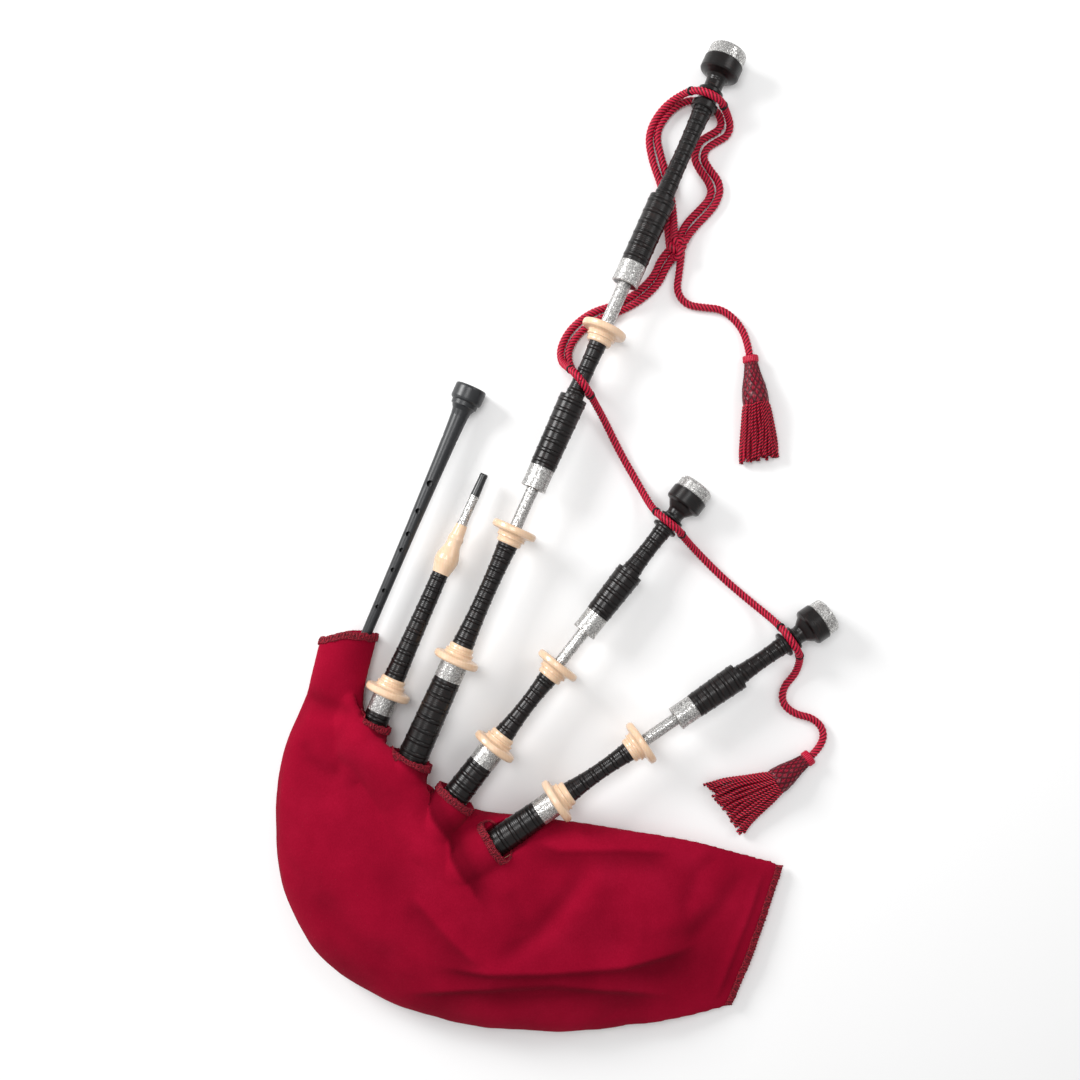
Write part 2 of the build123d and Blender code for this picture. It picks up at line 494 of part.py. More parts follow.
def build_bag():
    """The leather bag, with a collar tied round each stock's lower end."""
    inset = COVER_WALL + BAG_GAP
    inner = inset + BAG_WALL
    outer, cavity = bag_body(inset), bag_body(inner, last=8.5)
    outer -= Pos(0, BAG_START_Y + 500, 0) * Box(2000, 1000, 400)
    outer -= Pos(BAG_END_X + 500, 0, 0) * Box(1000, 2000, 400)
    cavity -= Pos(0, BAG_START_Y - BAG_WALL + 500, 0) * Box(2000, 1000, 400)
    cavity -= Pos(BAG_END_X - BAG_WALL + 500, 0, 0) * Box(1000, 2000, 400)
    for (axis, stock_spec), (mouth, _) in zip(STOCKS, SLEEVE_MOUTHS):
        outer -= channel(axis, stock_spec, mouth, STOCK_GAP + inset)
        cavity -= channel(axis, stock_spec, mouth, STOCK_GAP + inner)
    bosses = [(*stock_pair, STOCK_BOSS) for stock_pair in STOCKS] + [(CHANTER_AXIS, CHANTER_STOCK, CHANTER_BOSS)]
    collars = []
    for axis, stock_spec, boss in bosses:
        shoulder = low_end(stock_spec) + 12.6
        well_r = stock_spec["low_r"] + TIE_PROUD + 1.8
        outer -= along(axis) * lathe([(shoulder, well_r), (10, well_r)])
        cavity -= along(axis) * lathe([(shoulder - BAG_WALL, well_r + BAG_WALL), (10, well_r + BAG_WALL)])
    for axis, stock_spec, boss in bosses:
        shoulder = low_end(stock_spec) + 12.6
        outer += swelling(axis, stock_spec, boss, shoulder)
        cavity += swelling(axis, stock_spec, boss - BAG_WALL, shoulder - BAG_WALL, deep=57)
        inner_r = stock_spec["low_r"] - 0.7
        collars.append(along(axis) * lathe([(shoulder - 0.5, inner_r + 2.0), (shoulder + TIE_LENGTH - 1, inner_r + 2.0)]))
    bag = outer - cavity
    for piece in collars:
        bag += piece
    for axis, stock_spec, _ in bosses:
        low, inner_r = low_end(stock_spec), stock_spec["low_r"] - 0.7
        bag -= along(axis) * lathe([(low - 30, inner_r), (10, inner_r)])
    save("bag", bag)
    stocks = [pair[:2] for pair in bosses]
    save("stock_ferrules", *[along(axis) * stock_ferrule(spec) for axis, spec in stocks])
    save("stock_ties", *[along(axis) * stock_tie(spec) for axis, spec in stocks])


# ---- cord ----
def cord(name, route):
    """A limp cord's tube: straight runs joined by arcs as large as the runs allow."""
    points = [Vector(*p) for p in route]
    radii = []
    for before, here, after in zip(points, points[1:], points[2:]):
        half_turn = radians((here - before).get_angle(after - here)) / 2
        shorter = min((here - before).length, (after - here).length)
        radii.append(CORD_ARC_SHARE * shorter / tan(half_turn))
    path = FilletPolyline(*points, radius=radii)
    section = Plane(origin=path @ 0, z_dir=path % 0) * Circle(CORD_D / 2)
    solid = sweep(section, path=path)
    share = solid.volume / (section.area * path.length)
    print(f"{name}: {path.length:.0f} mm long, radii {[round(r) for r in radii]}, volume share {share:.4f}")
    return solid


def build_cords():
    runs = dict(cord_loop_front=cord("front loop", LOOP_FRONT), cord_loop_back=cord("back loop", LOOP_BACK),
                cord_long_run=cord("long run", LONG_RUN), cord_return_run=cord("return run", RETURN_RUN),
                cord_upper_run=cord("upper run", UPPER_RUN))
    knot = Pos(*KNOT_CENTRE) * Sphere(KNOT_R)
    ties = []
    for centre, direction in TIES:
        plane = Plane(origin=centre, z_dir=direction)
        ties.append(extrude(plane * (Circle(CORD_D / 2 + 1.2) - Circle(CORD_D / 2 - 0.5)), 1.8, both=True))
    for name, run in runs.items():
        save(name, run)
        knot -= run
        ties = [tie - run for tie in ties]
    save("cord_knot", knot)
    save("cord_ties", *ties)


def tassel(spec):
    """A collared head that widens into a skirt of twisted strings, flattened where it lies."""
    tip, shoulder, end = (Vector(*spec[key]) for key in ("tip", "shoulder", "end"))
    length = (shoulder - tip).length
    head = along((spec["tip"], spec["shoulder"])) * lathe(
        [(0, 7.5), (1.5, 9.6), (9, 9.6), (10, 7.8), (16, 8.4), (34, 12.4), (48, 15.4), (length, 16.2)])
    start = Plane(origin=shoulder, x_dir=(end - shoulder).cross(Vector(0, 0, 1)), z_dir=end - shoulder)
    finish = Plane(origin=end, x_dir=(end - shoulder).cross(Vector(0, 0, 1)), z_dir=(end.X - shoulder.X, end.Y - shoulder.Y, 0))
    skirt = loft([start * Circle(16.0), finish * Ellipse(*spec["fan"])])
    return head, skirt


def build_tassels():
    save("upper_tassel", *tassel(UPPER_TASSEL))
    save("lower_tassel", *tassel(LOWER_TASSEL))


build_bass()
build_tenor("inner_tenor", INNER_AXIS, INNER_STOCK)
build_tenor("outer_tenor", OUTER_AXIS, OUTER_STOCK)
build_drone_fittings()
build_blowpipe()
build_chanter()
build_cover()
build_bag()
build_cords()
build_tassels()
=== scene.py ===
"""Bagpipes laid flat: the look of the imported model, in metres, in the model's own frame."""

import json
import math
import random

import bmesh
import bpy
import numpy as np
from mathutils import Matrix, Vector, noise
from mathutils.bvhtree import BVHTree


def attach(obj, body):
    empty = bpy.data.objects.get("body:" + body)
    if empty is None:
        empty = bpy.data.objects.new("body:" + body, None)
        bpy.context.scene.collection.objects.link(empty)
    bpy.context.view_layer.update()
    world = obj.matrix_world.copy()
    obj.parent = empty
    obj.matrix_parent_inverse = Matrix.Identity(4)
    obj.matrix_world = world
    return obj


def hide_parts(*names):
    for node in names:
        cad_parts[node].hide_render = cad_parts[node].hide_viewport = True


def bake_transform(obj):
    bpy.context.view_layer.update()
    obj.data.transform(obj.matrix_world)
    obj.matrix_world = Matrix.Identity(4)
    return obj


MM = 0.001
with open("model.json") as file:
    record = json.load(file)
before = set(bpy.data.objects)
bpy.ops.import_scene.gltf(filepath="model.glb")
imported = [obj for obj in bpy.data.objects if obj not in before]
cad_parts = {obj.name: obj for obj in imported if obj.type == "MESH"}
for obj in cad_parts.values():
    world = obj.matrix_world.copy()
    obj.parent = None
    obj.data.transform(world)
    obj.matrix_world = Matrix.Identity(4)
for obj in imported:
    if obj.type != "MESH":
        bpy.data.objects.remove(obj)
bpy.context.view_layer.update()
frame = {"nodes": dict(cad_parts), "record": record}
NODES = frame["nodes"]

# ---- axes of the turned pieces, mm: the stock's top, and a point at the far end ----
AXES = {
    "bass": ((-124.2, -152.6, 42.0), (205.8, 584.7, 23.97)),
    "inner_tenor": ((-79.6, -255.2, 42.0), (166.7, 58.4, 22.05)),
    "outer_tenor": ((-6.8, -318.3, 46.0), (327.6, -93.9, 21.85)),
    "blowpipe": ((-206.7, -192.6, 34.0), (-89.8, 74.0, 20.0)),
    "chanter": ((-230.5, -114.6, 21.0), (-105.4, 178.7, 19.35)),
}


def axis_of(name):
    start, end = (np.array(p) for p in AXES[name])
    return start, (end - start) / np.linalg.norm(end - start)


# ---- camera, light and floor ----
CAMERA_PLACE = (-22.7, -5.9, 1450.0)
VIEW_WIDTH = 1324.0  # of the floor, mm
SENSOR_WIDTH = 36.0  # of the camera, mm
WORLD_STRENGTH = 0.55
LIGHTS = (  # name, place in metres, size, power
    ("top", (-0.3, 0.3, 2.0), 0.7, 14.0),
    ("key", (-1.8, 1.2, 1.2), 0.9, 52.0),
    ("fill", (1.3, 0.9, 1.6), 0.9, 8.0),
)
FLOOR_HALF = 6  # of its side, metres
FLOOR_Z = -0.0004  # just under the pieces, so that none shares its plane


def make_camera(scene):
    camera = bpy.data.objects.new("camera", bpy.data.cameras.new("camera"))
    camera.data.sensor_width = SENSOR_WIDTH
    camera.data.lens = SENSOR_WIDTH / 2 / (VIEW_WIDTH / 2 / CAMERA_PLACE[2])
    camera.location = Vector(CAMERA_PLACE) * MM
    camera.data.clip_start = 0.05
    scene.collection.objects.link(camera)
    scene.camera = camera


def make_lights(scene):
    world = bpy.data.worlds.new("studio")
    world.use_nodes = True
    background = world.node_tree.nodes["Background"]
    background.inputs["Color"].default_value = (1, 1, 1, 1)
    background.inputs["Strength"].default_value = WORLD_STRENGTH
    scene.world = world
    for name, place, size, power in LIGHTS:
        light = bpy.data.objects.new(name, bpy.data.lights.new(name, "AREA"))
        light.data.size = size
        light.data.energy = power
        light.location = place
        light.rotation_mode = "QUATERNION"
        light.rotation_quaternion = (-Vector(place)).to_track_quat("-Z", "Y")
        scene.collection.objects.link(light)


def make_floor(scene):
    corners = [(x * FLOOR_HALF, y * FLOOR_HALF, 0) for x, y in ((-1, -1), (1, -1), (1, 1), (-1, 1))]
    mesh = bpy.data.meshes.new("floor")
    mesh.from_pydata(corners, [], [(0, 1, 2, 3)])
    floor = bpy.data.objects.new("floor", mesh)
    floor.location.z = FLOOR_Z
    scene.collection.objects.link(floor)
    material, _, bsdf = new_material("floor_white", (0.90, 0.90, 0.90), 0.85)
    bsdf.inputs["Specular IOR Level"].default_value = 0.1
    floor.data.materials.append(material)


def make_stage():
    scene = bpy.context.scene
    scene.view_settings.view_transform = "Standard"
    make_camera(scene)
    make_lights(scene)
    make_floor(scene)


# ---- materials ----
def new_material(name, color, roughness, metallic=0.0):
    material = bpy.data.materials.new(name)
    material.use_nodes = True
    material.diffuse_color = (*color, 1)
    tree = material.node_tree
    bsdf = tree.nodes["Principled BSDF"]
    bsdf.inputs["Base Color"].default_value = (*color, 1)
    bsdf.inputs["Roughness"].default_value = roughness
    bsdf.inputs["Metallic"].default_value = metallic
    return material, tree, bsdf


def add(tree, kind, **settings):
    """Adds a shader node. A setting that starts with in_ fills or links a socket; the rest are properties."""
    node = tree.nodes.new("ShaderNode" + kind)
    inputs = {key[3:]: value for key, value in settings.items() if key.startswith("in_")}
    for key, value in settings.items():
        if not key.startswith("in_"):
            setattr(node, key, value)
    for key, value in inputs.items():
        socket = node.inputs[int(key)] if key.isdigit() else node.inputs[key.replace("_", " ")]
        if isinstance(value, bpy.types.NodeSocket):
            tree.links.new(value, socket)
        else:
            socket.default_value = value
    return node


def ramp(tree, value, stops):
    node = add(tree, "ValToRGB", in_Fac=value)
    elements = node.color_ramp.elements
    while len(elements) < len(stops):
        elements.new(0.5)
    for element, (place, color) in zip(elements, stops):
        element.position = place
        element.color = (*color, 1)
    return node.outputs["Color"]


def grey(value):
    return (value, value, value)


def object_place(tree):
    return add(tree, "TexCoord").outputs["Object"]


def math_node(tree, operation, a, b=0.0):
    return add(tree, "Math", operation=operation, in_0=a, in_1=b).outputs[0]


def weighted(tree, base, extra, weight):
    return math_node(tree, "ADD", base, math_node(tree, "MULTIPLY", extra, weight))


def vary_roughness(tree, bsdf, value, low, high):
    rough = add(tree, "MapRange", in_Value=value, in_3=low, in_4=high)
    tree.links.new(rough.outputs[0], bsdf.inputs["Roughness"])


def along_axis(tree, place, name):
    """Distance along a turned piece's axis, in millimetres."""
    _, direction = axis_of(name)
    dot = add(tree, "VectorMath", operation="DOT_PRODUCT", in_0=place, in_1=tuple(direction))
    return math_node(tree, "MULTIPLY", dot.outputs["Value"], 1 / MM)


def bump(tree, bsdf, height, strength, distance_mm):
    node = add(tree, "Bump", in_Height=height, in_Strength=strength, in_Distance=distance_mm * MM)
    tree.links.new(node.outputs["Normal"], bsdf.inputs["Normal"])


COMB_PITCH = 2.2  # between the comb lines, mm
THREAD_PITCH = 1.6  # between the cloth's threads, mm


def wood_material(name):
    """Blackwood, with the fine comb lines that the lathe tool leaves and a brown streak or two."""
    material, tree, bsdf = new_material("blackwood_" + name, (0.008, 0.006, 0.006), 0.27)
    bsdf.inputs["Specular IOR Level"].default_value = 0.34
    place = object_place(tree)
    s = along_axis(tree, place, name)
    comb = math_node(tree, "SINE", math_node(tree, "MULTIPLY", s, 2 * math.pi / COMB_PITCH))
    stretched = add(tree, "CombineXYZ", in_X=math_node(tree, "MULTIPLY", s, 0.004),
                    in_Y=add(tree, "SeparateXYZ", in_Vector=place).outputs["Z"]).outputs[0]
    grain_place = add(tree, "VectorMath", operation="ADD", in_0=stretched, in_1=place).outputs[0]
    grain = add(tree, "TexNoise", in_Vector=grain_place, in_Scale=140.0, in_Detail=6.0, in_Roughness=0.65)
    cloud = add(tree, "TexNoise", in_Vector=place, in_Scale=24.0, in_Detail=3.0)
    color = ramp(tree, grain.outputs["Fac"], ((0.35, (0.003, 0.003, 0.003)), (0.55, (0.007, 0.005, 0.005)),
                                              (0.72, (0.024, 0.010, 0.008))))
    tree.links.new(color, bsdf.inputs["Base Color"])
    vary_roughness(tree, bsdf, cloud.outputs["Fac"], 0.22, 0.34)
    bump(tree, bsdf, weighted(tree, comb, cloud.outputs["Fac"], 0.5), 0.25, 0.12)
    return material


def silver_material(name):
    """Polished metal with engraved scrolls, darker where the cuts hold tarnish."""
    material, tree, bsdf = new_material("engraved_silver_" + name, (0.70, 0.69, 0.67), 0.3, 1.0)
    place = object_place(tree)
    warp = add(tree, "TexNoise", in_Vector=place, in_Scale=210.0, in_Detail=2.0)
    shifted = add(tree, "VectorMath", operation="SCALE", in_0=warp.outputs["Color"], in_Scale=0.006)
    scroll_place = add(tree, "VectorMath", operation="ADD", in_0=place, in_1=shifted.outputs[0]).outputs[0]
    cells = add(tree, "TexVoronoi", in_Vector=scroll_place, in_Scale=290.0, feature="DISTANCE_TO_EDGE")
    curls = add(tree, "TexVoronoi", in_Vector=scroll_place, in_Scale=330.0, feature="F1")
    rings = math_node(tree, "SINE", math_node(tree, "MULTIPLY", curls.outputs["Distance"], 17.0))
    line = ramp(tree, cells.outputs["Distance"], ((0.02, grey(0)), (0.09, grey(1))))
    cut = math_node(tree, "MULTIPLY", line, math_node(tree, "GREATER_THAN", rings, -0.35))
    color = ramp(tree, cut, ((0.0, (0.26, 0.255, 0.25)), (1.0, (0.80, 0.79, 0.77))))
    tree.links.new(color, bsdf.inputs["Base Color"])
    vary_roughness(tree, bsdf, cut, 0.5, 0.3)
    bump(tree, bsdf, weighted(tree, cut, warp.outputs["Fac"], 0.7), 0.75, 0.25)
    return material


def ivory_material():
    """Cream mounts with a faint turned grain and a tone that varies at random."""
    material, tree, bsdf = new_material("imitation_ivory", (0.68, 0.45, 0.30), 0.3)
    bsdf.inputs["Subsurface Weight"].default_value = 0.12
    bsdf.inputs["Subsurface Radius"].default_value = (0.004, 0.002, 0.001)
    bsdf.inputs["Coat Weight"].default_value = 0.2
    place = object_place(tree)
    cloud = add(tree, "TexNoise", in_Vector=place, in_Scale=45.0, in_Detail=4.0)
    grain = add(tree, "TexWave", in_Vector=place, in_Scale=95.0, in_Distortion=5.0, in_Detail=3.0)
    mix = weighted(tree, cloud.outputs["Fac"], grain.outputs["Fac"], 0.12)
    color = ramp(tree, mix, ((0.3, (0.66, 0.44, 0.28)), (0.55, (0.73, 0.51, 0.34)),
                             (0.8, (0.76, 0.55, 0.39))))
    tree.links.new(color, bsdf.inputs["Base Color"])
    bump(tree, bsdf, grain.outputs["Fac"], 0.06, 0.1)
    return material


def satin_material(name, color, roughness, streak):
    """Moulded or turned plastic, rubber, cane or hide: an even colour with fine wear in its gloss."""
    material, tree, bsdf = new_material(name, color, roughness)
    place = object_place(tree)
    cloud = add(tree, "TexNoise", in_Vector=place, in_Scale=60.0, in_Detail=5.0)
    fine = add(tree, "TexNoise", in_Vector=place, in_Scale=700.0, in_Detail=2.0)
    low, high = (tuple(c * k for c in color) for k in (1 - streak, 1 + streak))
    tree.links.new(ramp(tree, cloud.outputs["Fac"], ((0.3, low), (0.7, high))), bsdf.inputs["Base Color"])
    vary_roughness(tree, bsdf, cloud.outputs["Fac"], roughness * 0.8, roughness * 1.25)
    bump(tree, bsdf, fine.outputs["Fac"], 0.15, 0.08)
    return material


def cloth_material():
    """Crimson cloth: a fine weave and a soft nap, with painted light over its ridges and painted shade in its
    creases.
    """
    material, tree, bsdf = new_material("crimson_cloth", (0.245, 0.0024, 0.018), 0.9)
    bsdf.inputs["Sheen Weight"].default_value = 0.05
    bsdf.inputs["Sheen Roughness"].default_value = 0.5
    bsdf.inputs["Sheen Tint"].default_value = (0.9, 0.25, 0.32, 1)
    bsdf.inputs["Specular IOR Level"].default_value = 0.03
    place = object_place(tree)
    parts = add(tree, "SeparateXYZ", in_Vector=place)
    turn = 2 * math.pi / (THREAD_PITCH * MM)
    warp = math_node(tree, "SINE", math_node(tree, "MULTIPLY", parts.outputs["X"], turn))
    weft = math_node(tree, "SINE", math_node(tree, "MULTIPLY", parts.outputs["Y"], turn))
    weave = math_node(tree, "MULTIPLY", warp, weft)
    cloud = add(tree, "TexNoise", in_Vector=place, in_Scale=14.0, in_Detail=5.0, in_Roughness=0.6)
    nap = add(tree, "TexNoise", in_Vector=place, in_Scale=520.0, in_Detail=3.0)
    mix = weighted(tree, cloud.outputs["Fac"], nap.outputs["Fac"], 0.5)
    color = ramp(tree, mix, ((0.45, (0.205, 0.0016, 0.0145)), (0.75, (0.245, 0.0024, 0.018)),
                             (1.05, (0.285, 0.0036, 0.023))))
    # painted shade and light: the cover stores a tone per place, darker in its creases and under its lapped
    # edge, lighter on its ridges, and the colour is scaled by it
    painted_fold_shade = add(tree, "Attribute", attribute_name="crest").outputs["Fac"]
    tone = weighted(tree, 1.0, painted_fold_shade, 0.42)
    toned = add(tree, "VectorMath", operation="SCALE", in_0=color, in_Scale=tone).outputs[0]
    tree.links.new(toned, bsdf.inputs["Base Color"])
    bump(tree, bsdf, weighted(tree, weave, nap.outputs["Fac"], 2.2), 0.35, 0.22)
    return material


def yarn_material(name, crest, valley, gloss):
    """Silk yarn, coloured from the crest that the mesh stores: painted shade in the grooves between strands,
    a painted highlight on the crests.
    """
    material, tree, bsdf = new_material(name, crest, gloss)
    bsdf.inputs["Sheen Weight"].default_value = 0.08
    bsdf.inputs["Sheen Roughness"].default_value = 0.4
    bsdf.inputs["Sheen Tint"].default_value = (1.0, 0.2, 0.3, 1)
    bsdf.inputs["Specular IOR Level"].default_value = 0.22
    height = add(tree, "Attribute", attribute_name="crest").outputs["Fac"]
    fibre = add(tree, "TexNoise", in_Vector=object_place(tree), in_Scale=900.0, in_Detail=2.0)
    mix = weighted(tree, height, fibre.outputs["Fac"], 0.3)
    # the valley colour is painted shade and the crest colour a painted highlight, laid on by the strand's
    # crest
    middle = tuple((a + b) / 2 for a, b in zip(crest, valley))
    color = ramp(tree, mix, ((0.50, valley), (0.82, middle), (1.05, crest)))
    tree.links.new(color, bsdf.inputs["Base Color"])
    bump(tree, bsdf, fibre.outputs["Fac"], 0.3, 0.1)
    return material


# ---- mesh helpers ----
def angles_round(count):
    return [2 * math.pi * j / count for j in range(count)]


def mesh_piece(name, verts, faces, material, crest=None):
    mesh = bpy.data.meshes.new(name)
    mesh.from_pydata([tuple(v) for v in verts], [], [tuple(f) for f in faces])
    mesh.polygons.foreach_set("use_smooth", [True] * len(mesh.polygons))
    if crest is not None:
        attribute = mesh.attributes.new("crest", "FLOAT", "POINT")
        attribute.data.foreach_set("value", [float(c) for c in crest])
    mesh.materials.append(material)
    mesh.update()
    piece = bpy.data.objects.new(name, mesh)
    bpy.context.scene.collection.objects.link(piece)
    return piece


def evenly(points, step):
    """Points along a polyline at an even spacing."""
    points = np.array(points, float)
    gaps = np.linalg.norm(np.diff(points, axis=0), axis=1)
    keep = np.concatenate([[True], gaps > 1e-9])
    points = points[keep]
    at = np.concatenate([[0], np.cumsum(np.linalg.norm(np.diff(points, axis=0), axis=1))])
    count = max(2, int(round(at[-1] / step)) + 1)
    wanted = np.linspace(0, at[-1], count)
    return np.stack([np.interp(wanted, at, points[:, i]) for i in range(3)], axis=1)


def route_line(name, route, step):
    """The smooth line of a route given in mm: a NURBS spline with the route's points as control points."""
    curve = bpy.data.curves.new(name, "CURVE")
    curve.dimensions = "3D"
    curve.resolution_u = 20
    spline = curve.splines.new("NURBS")
    spline.points.add(len(route) - 1)
    for point, place in zip(spline.points, route):
        point.co = (*(c * MM for c in place), 1)
    spline.order_u = 3
    spline.use_endpoint_u = True
    holder = bpy.data.objects.new(name, curve)
    mesh = bpy.data.meshes.new_from_object(holder)
    points = [tuple(v.co) for v in mesh.vertices]
    bpy.data.objects.remove(holder)
    bpy.data.meshes.remove(mesh)
    return evenly(points, step)


def frames_along(points):
    """Tangents, and normals that don't twist, along a line."""
    tangents = np.gradient(points, axis=0)
    tangents /= np.linalg.norm(tangents, axis=1)[:, None]
    normal = np.cross(tangents[0], (0, 0, 1))
    if np.linalg.norm(normal) < 1e-6:
        normal = np.array((1.0, 0, 0))
    normal /= np.linalg.norm(normal)
    normals = [normal]
    for tangent in tangents[1:]:
        normal = normal - tangent * np.dot(normal, tangent)
        normal /= np.linalg.norm(normal)
        normals.append(normal)
    return tangents, np.array(normals)


def quads(rows, sides):
    """The faces between rings of vertices that follow one another."""
    faces = []
    for i in range(rows - 1):
        for j in range(sides):
            k = (j + 1) % sides
            faces.append((i * sides + j, i * sides + k, (i + 1) * sides + k, (i + 1) * sides + j))
    return faces


def strand_rings(points, radius, lobes, pitch, sides, phase=0.0, closed_ends=True):
    """Vertices, faces and crest values of a twisted cord along a line. Lengths in metres."""
    tangents, normals = frames_along(points)
    binormals = np.cross(tangents, normals)
    step = np.linalg.norm(points[1] - points[0])
    # each strand is a round of radius a whose centre is b from the cord's, for a cord of radius 1
    a, b = (0.43, 0.57) if lobes > 2 else (0.56, 0.44)
    verts, crest = [], []
    angles = np.arange(sides) * 2 * math.pi / sides
    for i, point in enumerate(points):
        twist = phase + 2 * math.pi * i * step / pitch
        delta = (angles - twist + math.pi / lobes) % (2 * math.pi / lobes) - math.pi / lobes
        inside = np.clip(a * a - (b * np.sin(delta)) ** 2, 0, None)
        r = b * np.cos(delta) + np.sqrt(inside)
        across = (r * radius * np.cos(angles))[:, None] * normals[i]
        upward = (r * radius * np.sin(angles))[:, None] * binormals[i]
        verts.append(point + across + upward)
        crest.append((r - 0.55) / 0.45)
    verts, crest = np.concatenate(verts), np.clip(np.concatenate(crest), 0, 1)
    faces = quads(len(points), sides)
    if closed_ends:
        faces.append(tuple(reversed(range(sides))))
        last = (len(points) - 1) * sides
        faces.append(tuple(last + j for j in range(sides)))
    return verts, faces, crest


def join_parts(parts):
    """One vertex, face and crest list from several."""
    verts, faces, crest, offset = [], [], [], 0
    for part_verts, part_faces, part_crest in parts:
        verts.append(part_verts)
        crest.append(part_crest)
        faces += [tuple(i + offset for i in face) for face in part_faces]
        offset += len(part_verts)
    return np.concatenate(verts), faces, np.concatenate(crest)


# ---- cords, mm ----
CORD_PITCH = 18.0
ROPE_RADIUS = 4.75  # over the crests of the strands, which stand out of the plain cord's surface
LOOP_FRONT = (
    (134.5, 356.5, 9), (132.5, 384, 4.8), (127, 424, 4.6), (114, 458, 4.6), (109, 491, 4.8),
    (126, 520, 8), (150, 535, 18), (166.2, 530.6, 43.2), (191.8, 519.2, 43.2), (204, 511, 16),
    (210, 499, 7), (206, 487, 4.6), (193, 480.5, 4.6), (180, 472, 4.6), (176.5, 460, 4.6),
    (185, 446, 4.6), (195, 434, 4.6), (198, 420, 4.6), (192, 404, 4.6), (182, 392, 4.6), (172, 382, 4.8),
    (161, 369.5, 5.5), (153.5, 357, 12.5),
)
LOOP_BACK = (
    (140, 360.5, 17), (141.5, 384, 4.8), (136.5, 424, 4.6), (126, 459, 4.6), (118.5, 490, 4.6),
    (132, 514, 5), (150, 528, 6.5), (166.2, 530.6, 8.7), (191.8, 519.2, 8.7), (199.5, 505, 6),
    (196, 494.5, 4.6), (184, 488.5, 4.6), (171, 480, 4.6), (165, 461, 4.6), (172.5, 446, 4.6),
    (182, 434, 4.6), (187.5, 420.5, 4.6), (182.5, 408, 4.6), (171, 396, 4.6), (154, 379, 4.8),
    (146, 360.5, 8),
)
LONG_RUN = (
    (132.5, 345, 9), (124, 336, 6), (117, 316, 4.6), (93, 293, 4.6), (66, 280, 4.6), (39, 272, 4.6),
    (14, 252, 4.6), (2, 229, 5), (3, 211, 12), (9.5, 203, 26), (19, 191.9, 50.2), (33, 173.5, 50.2),
    (42, 161, 26), (55, 141, 10), (76, 99, 4.6), (98, 61, 6), (112.5, 33.5, 18), (121.3, 22.6, 42.4),
    (142.7, 5.8, 42.4), (151.5, -3.5, 19), (170, -22, 7), (201, -53, 4.6), (234, -81, 6),
    (262, -104.5, 18.5), (270, -116.3, 43), (285, -138.7, 43), (292, -150, 19.5), (289, -169, 7),
    (274, -186, 4.6), (273, -206, 4.6), (289, -219, 4.6), (310, -223, 4.6), (324, -237, 4.6),
    (322, -256, 6), (308, -268.5, 10),
)
RETURN_RUN = (
    (139.5, 338.5, 7), (132, 329, 5), (122, 306, 4.6), (97, 284, 4.6), (69, 271, 4.6), (44, 262, 4.6),
    (23, 245, 4.6), (12, 227, 5), (12, 212, 9), (17, 200, 14), (30, 180, 15.2), (38.5, 167, 16),
)
UPPER_RUN = (
    (149, 338.5, 9.5), (147, 318, 4.8), (144, 298, 4.6), (156, 281, 4.6), (178, 278, 4.6),
    (200, 276, 4.6), (219, 260, 4.6), (230, 240, 5.5), (232.6, 219, 10),
)
# where the long run passes from one body to the next
LONG_CUTS = ((26, 182.7, 50), (76, 99, 5), (132, 14.2, 42), (201, -53, 5), (277.5, -127.5, 43))
KNOT_CENTRE = (143.5, 349.0, 13.1)
KNOT_REACH = 24  # a line that ends this near the knot's centre is drawn into it
TIES = (  # the cord, the place, the body that it holds the cord to
    ("cord_loop_front", (158.5, 533.2, 31), "bass_top"),
    ("cord_loop_front", (197.7, 515.3, 30), "bass_top"),
    ("cord_long_run", (13.9, 198, 37), "bass_middle"),
    ("cord_long_run", (37.8, 167, 38), "bass_middle"),
    ("cord_long_run", (116.9, 28, 30.5), "inner_tenor_top"),
    ("cord_long_run", (147, 1.2, 30.5), "inner_tenor_top"),
    ("cord_long_run", (266, -110.4, 31), "outer_tenor_top"),
    ("cord_long_run", (288.6, -144.5, 31), "outer_tenor_top"),
)
THREAD_RADIUS = 0.85
THREAD_SPACING = 1.25  # between the turns of a tie
PATH_STEP = 1.1 * MM
ROPE_STRANDS, ROPE_SIDES = 4, 28


def rope(points, radius=ROPE_RADIUS, phase=0.0, closed_ends=True):
    return strand_rings(points, radius * MM, ROPE_STRANDS, CORD_PITCH * MM, ROPE_SIDES, phase, closed_ends)


def rope_piece(name, points, material, phase_length=0.0):
    phase = 2 * math.pi * phase_length / (CORD_PITCH * MM)
    verts, faces, crest = rope(points, phase=phase)
    return mesh_piece(name, verts, faces, material, crest)


def nearest(points, place):
    return int(np.argmin(np.linalg.norm(points - np.array(place) * MM, axis=1)))


def tie_ring(name, centre, tangent, material):
    """Three turns of black thread round the cord."""
    tangent = Vector(tangent).normalized()
    side = tangent.orthogonal().normalized()
    other = tangent.cross(side)
    parts, steps = [], 24
    for turn in (-THREAD_SPACING, 0, THREAD_SPACING):
        loop = []
        for i in range(steps + 1):
            angle = 2 * math.pi * i / steps
            radial = side * math.cos(angle) + other * math.sin(angle)
            loop.append(np.array(Vector(centre) + tangent * turn * MM + radial * (ROPE_RADIUS - 0.1) * MM))
        parts.append(strand_rings(np.array(loop), THREAD_RADIUS * MM, 2, 4 * MM, 8, closed_ends=False))
    verts, faces, crest = join_parts(parts)
    piece = mesh_piece(name, verts, faces, material, crest)
    return piece


def lay_ties(lines, thread):
    """The thread ties, grouped by the body that each one rides on."""
    ties = {}
    for i, (line_name, place, body) in enumerate(TIES):
        points = lines[line_name]
        at = nearest(points, place)
        ring = tie_ring(f"tie_{i}", points[at], points[at + 1] - points[at - 1], thread)
        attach(ring, body)
        ties.setdefault(body, []).append(ring)
    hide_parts("cord_ties")
    return ties


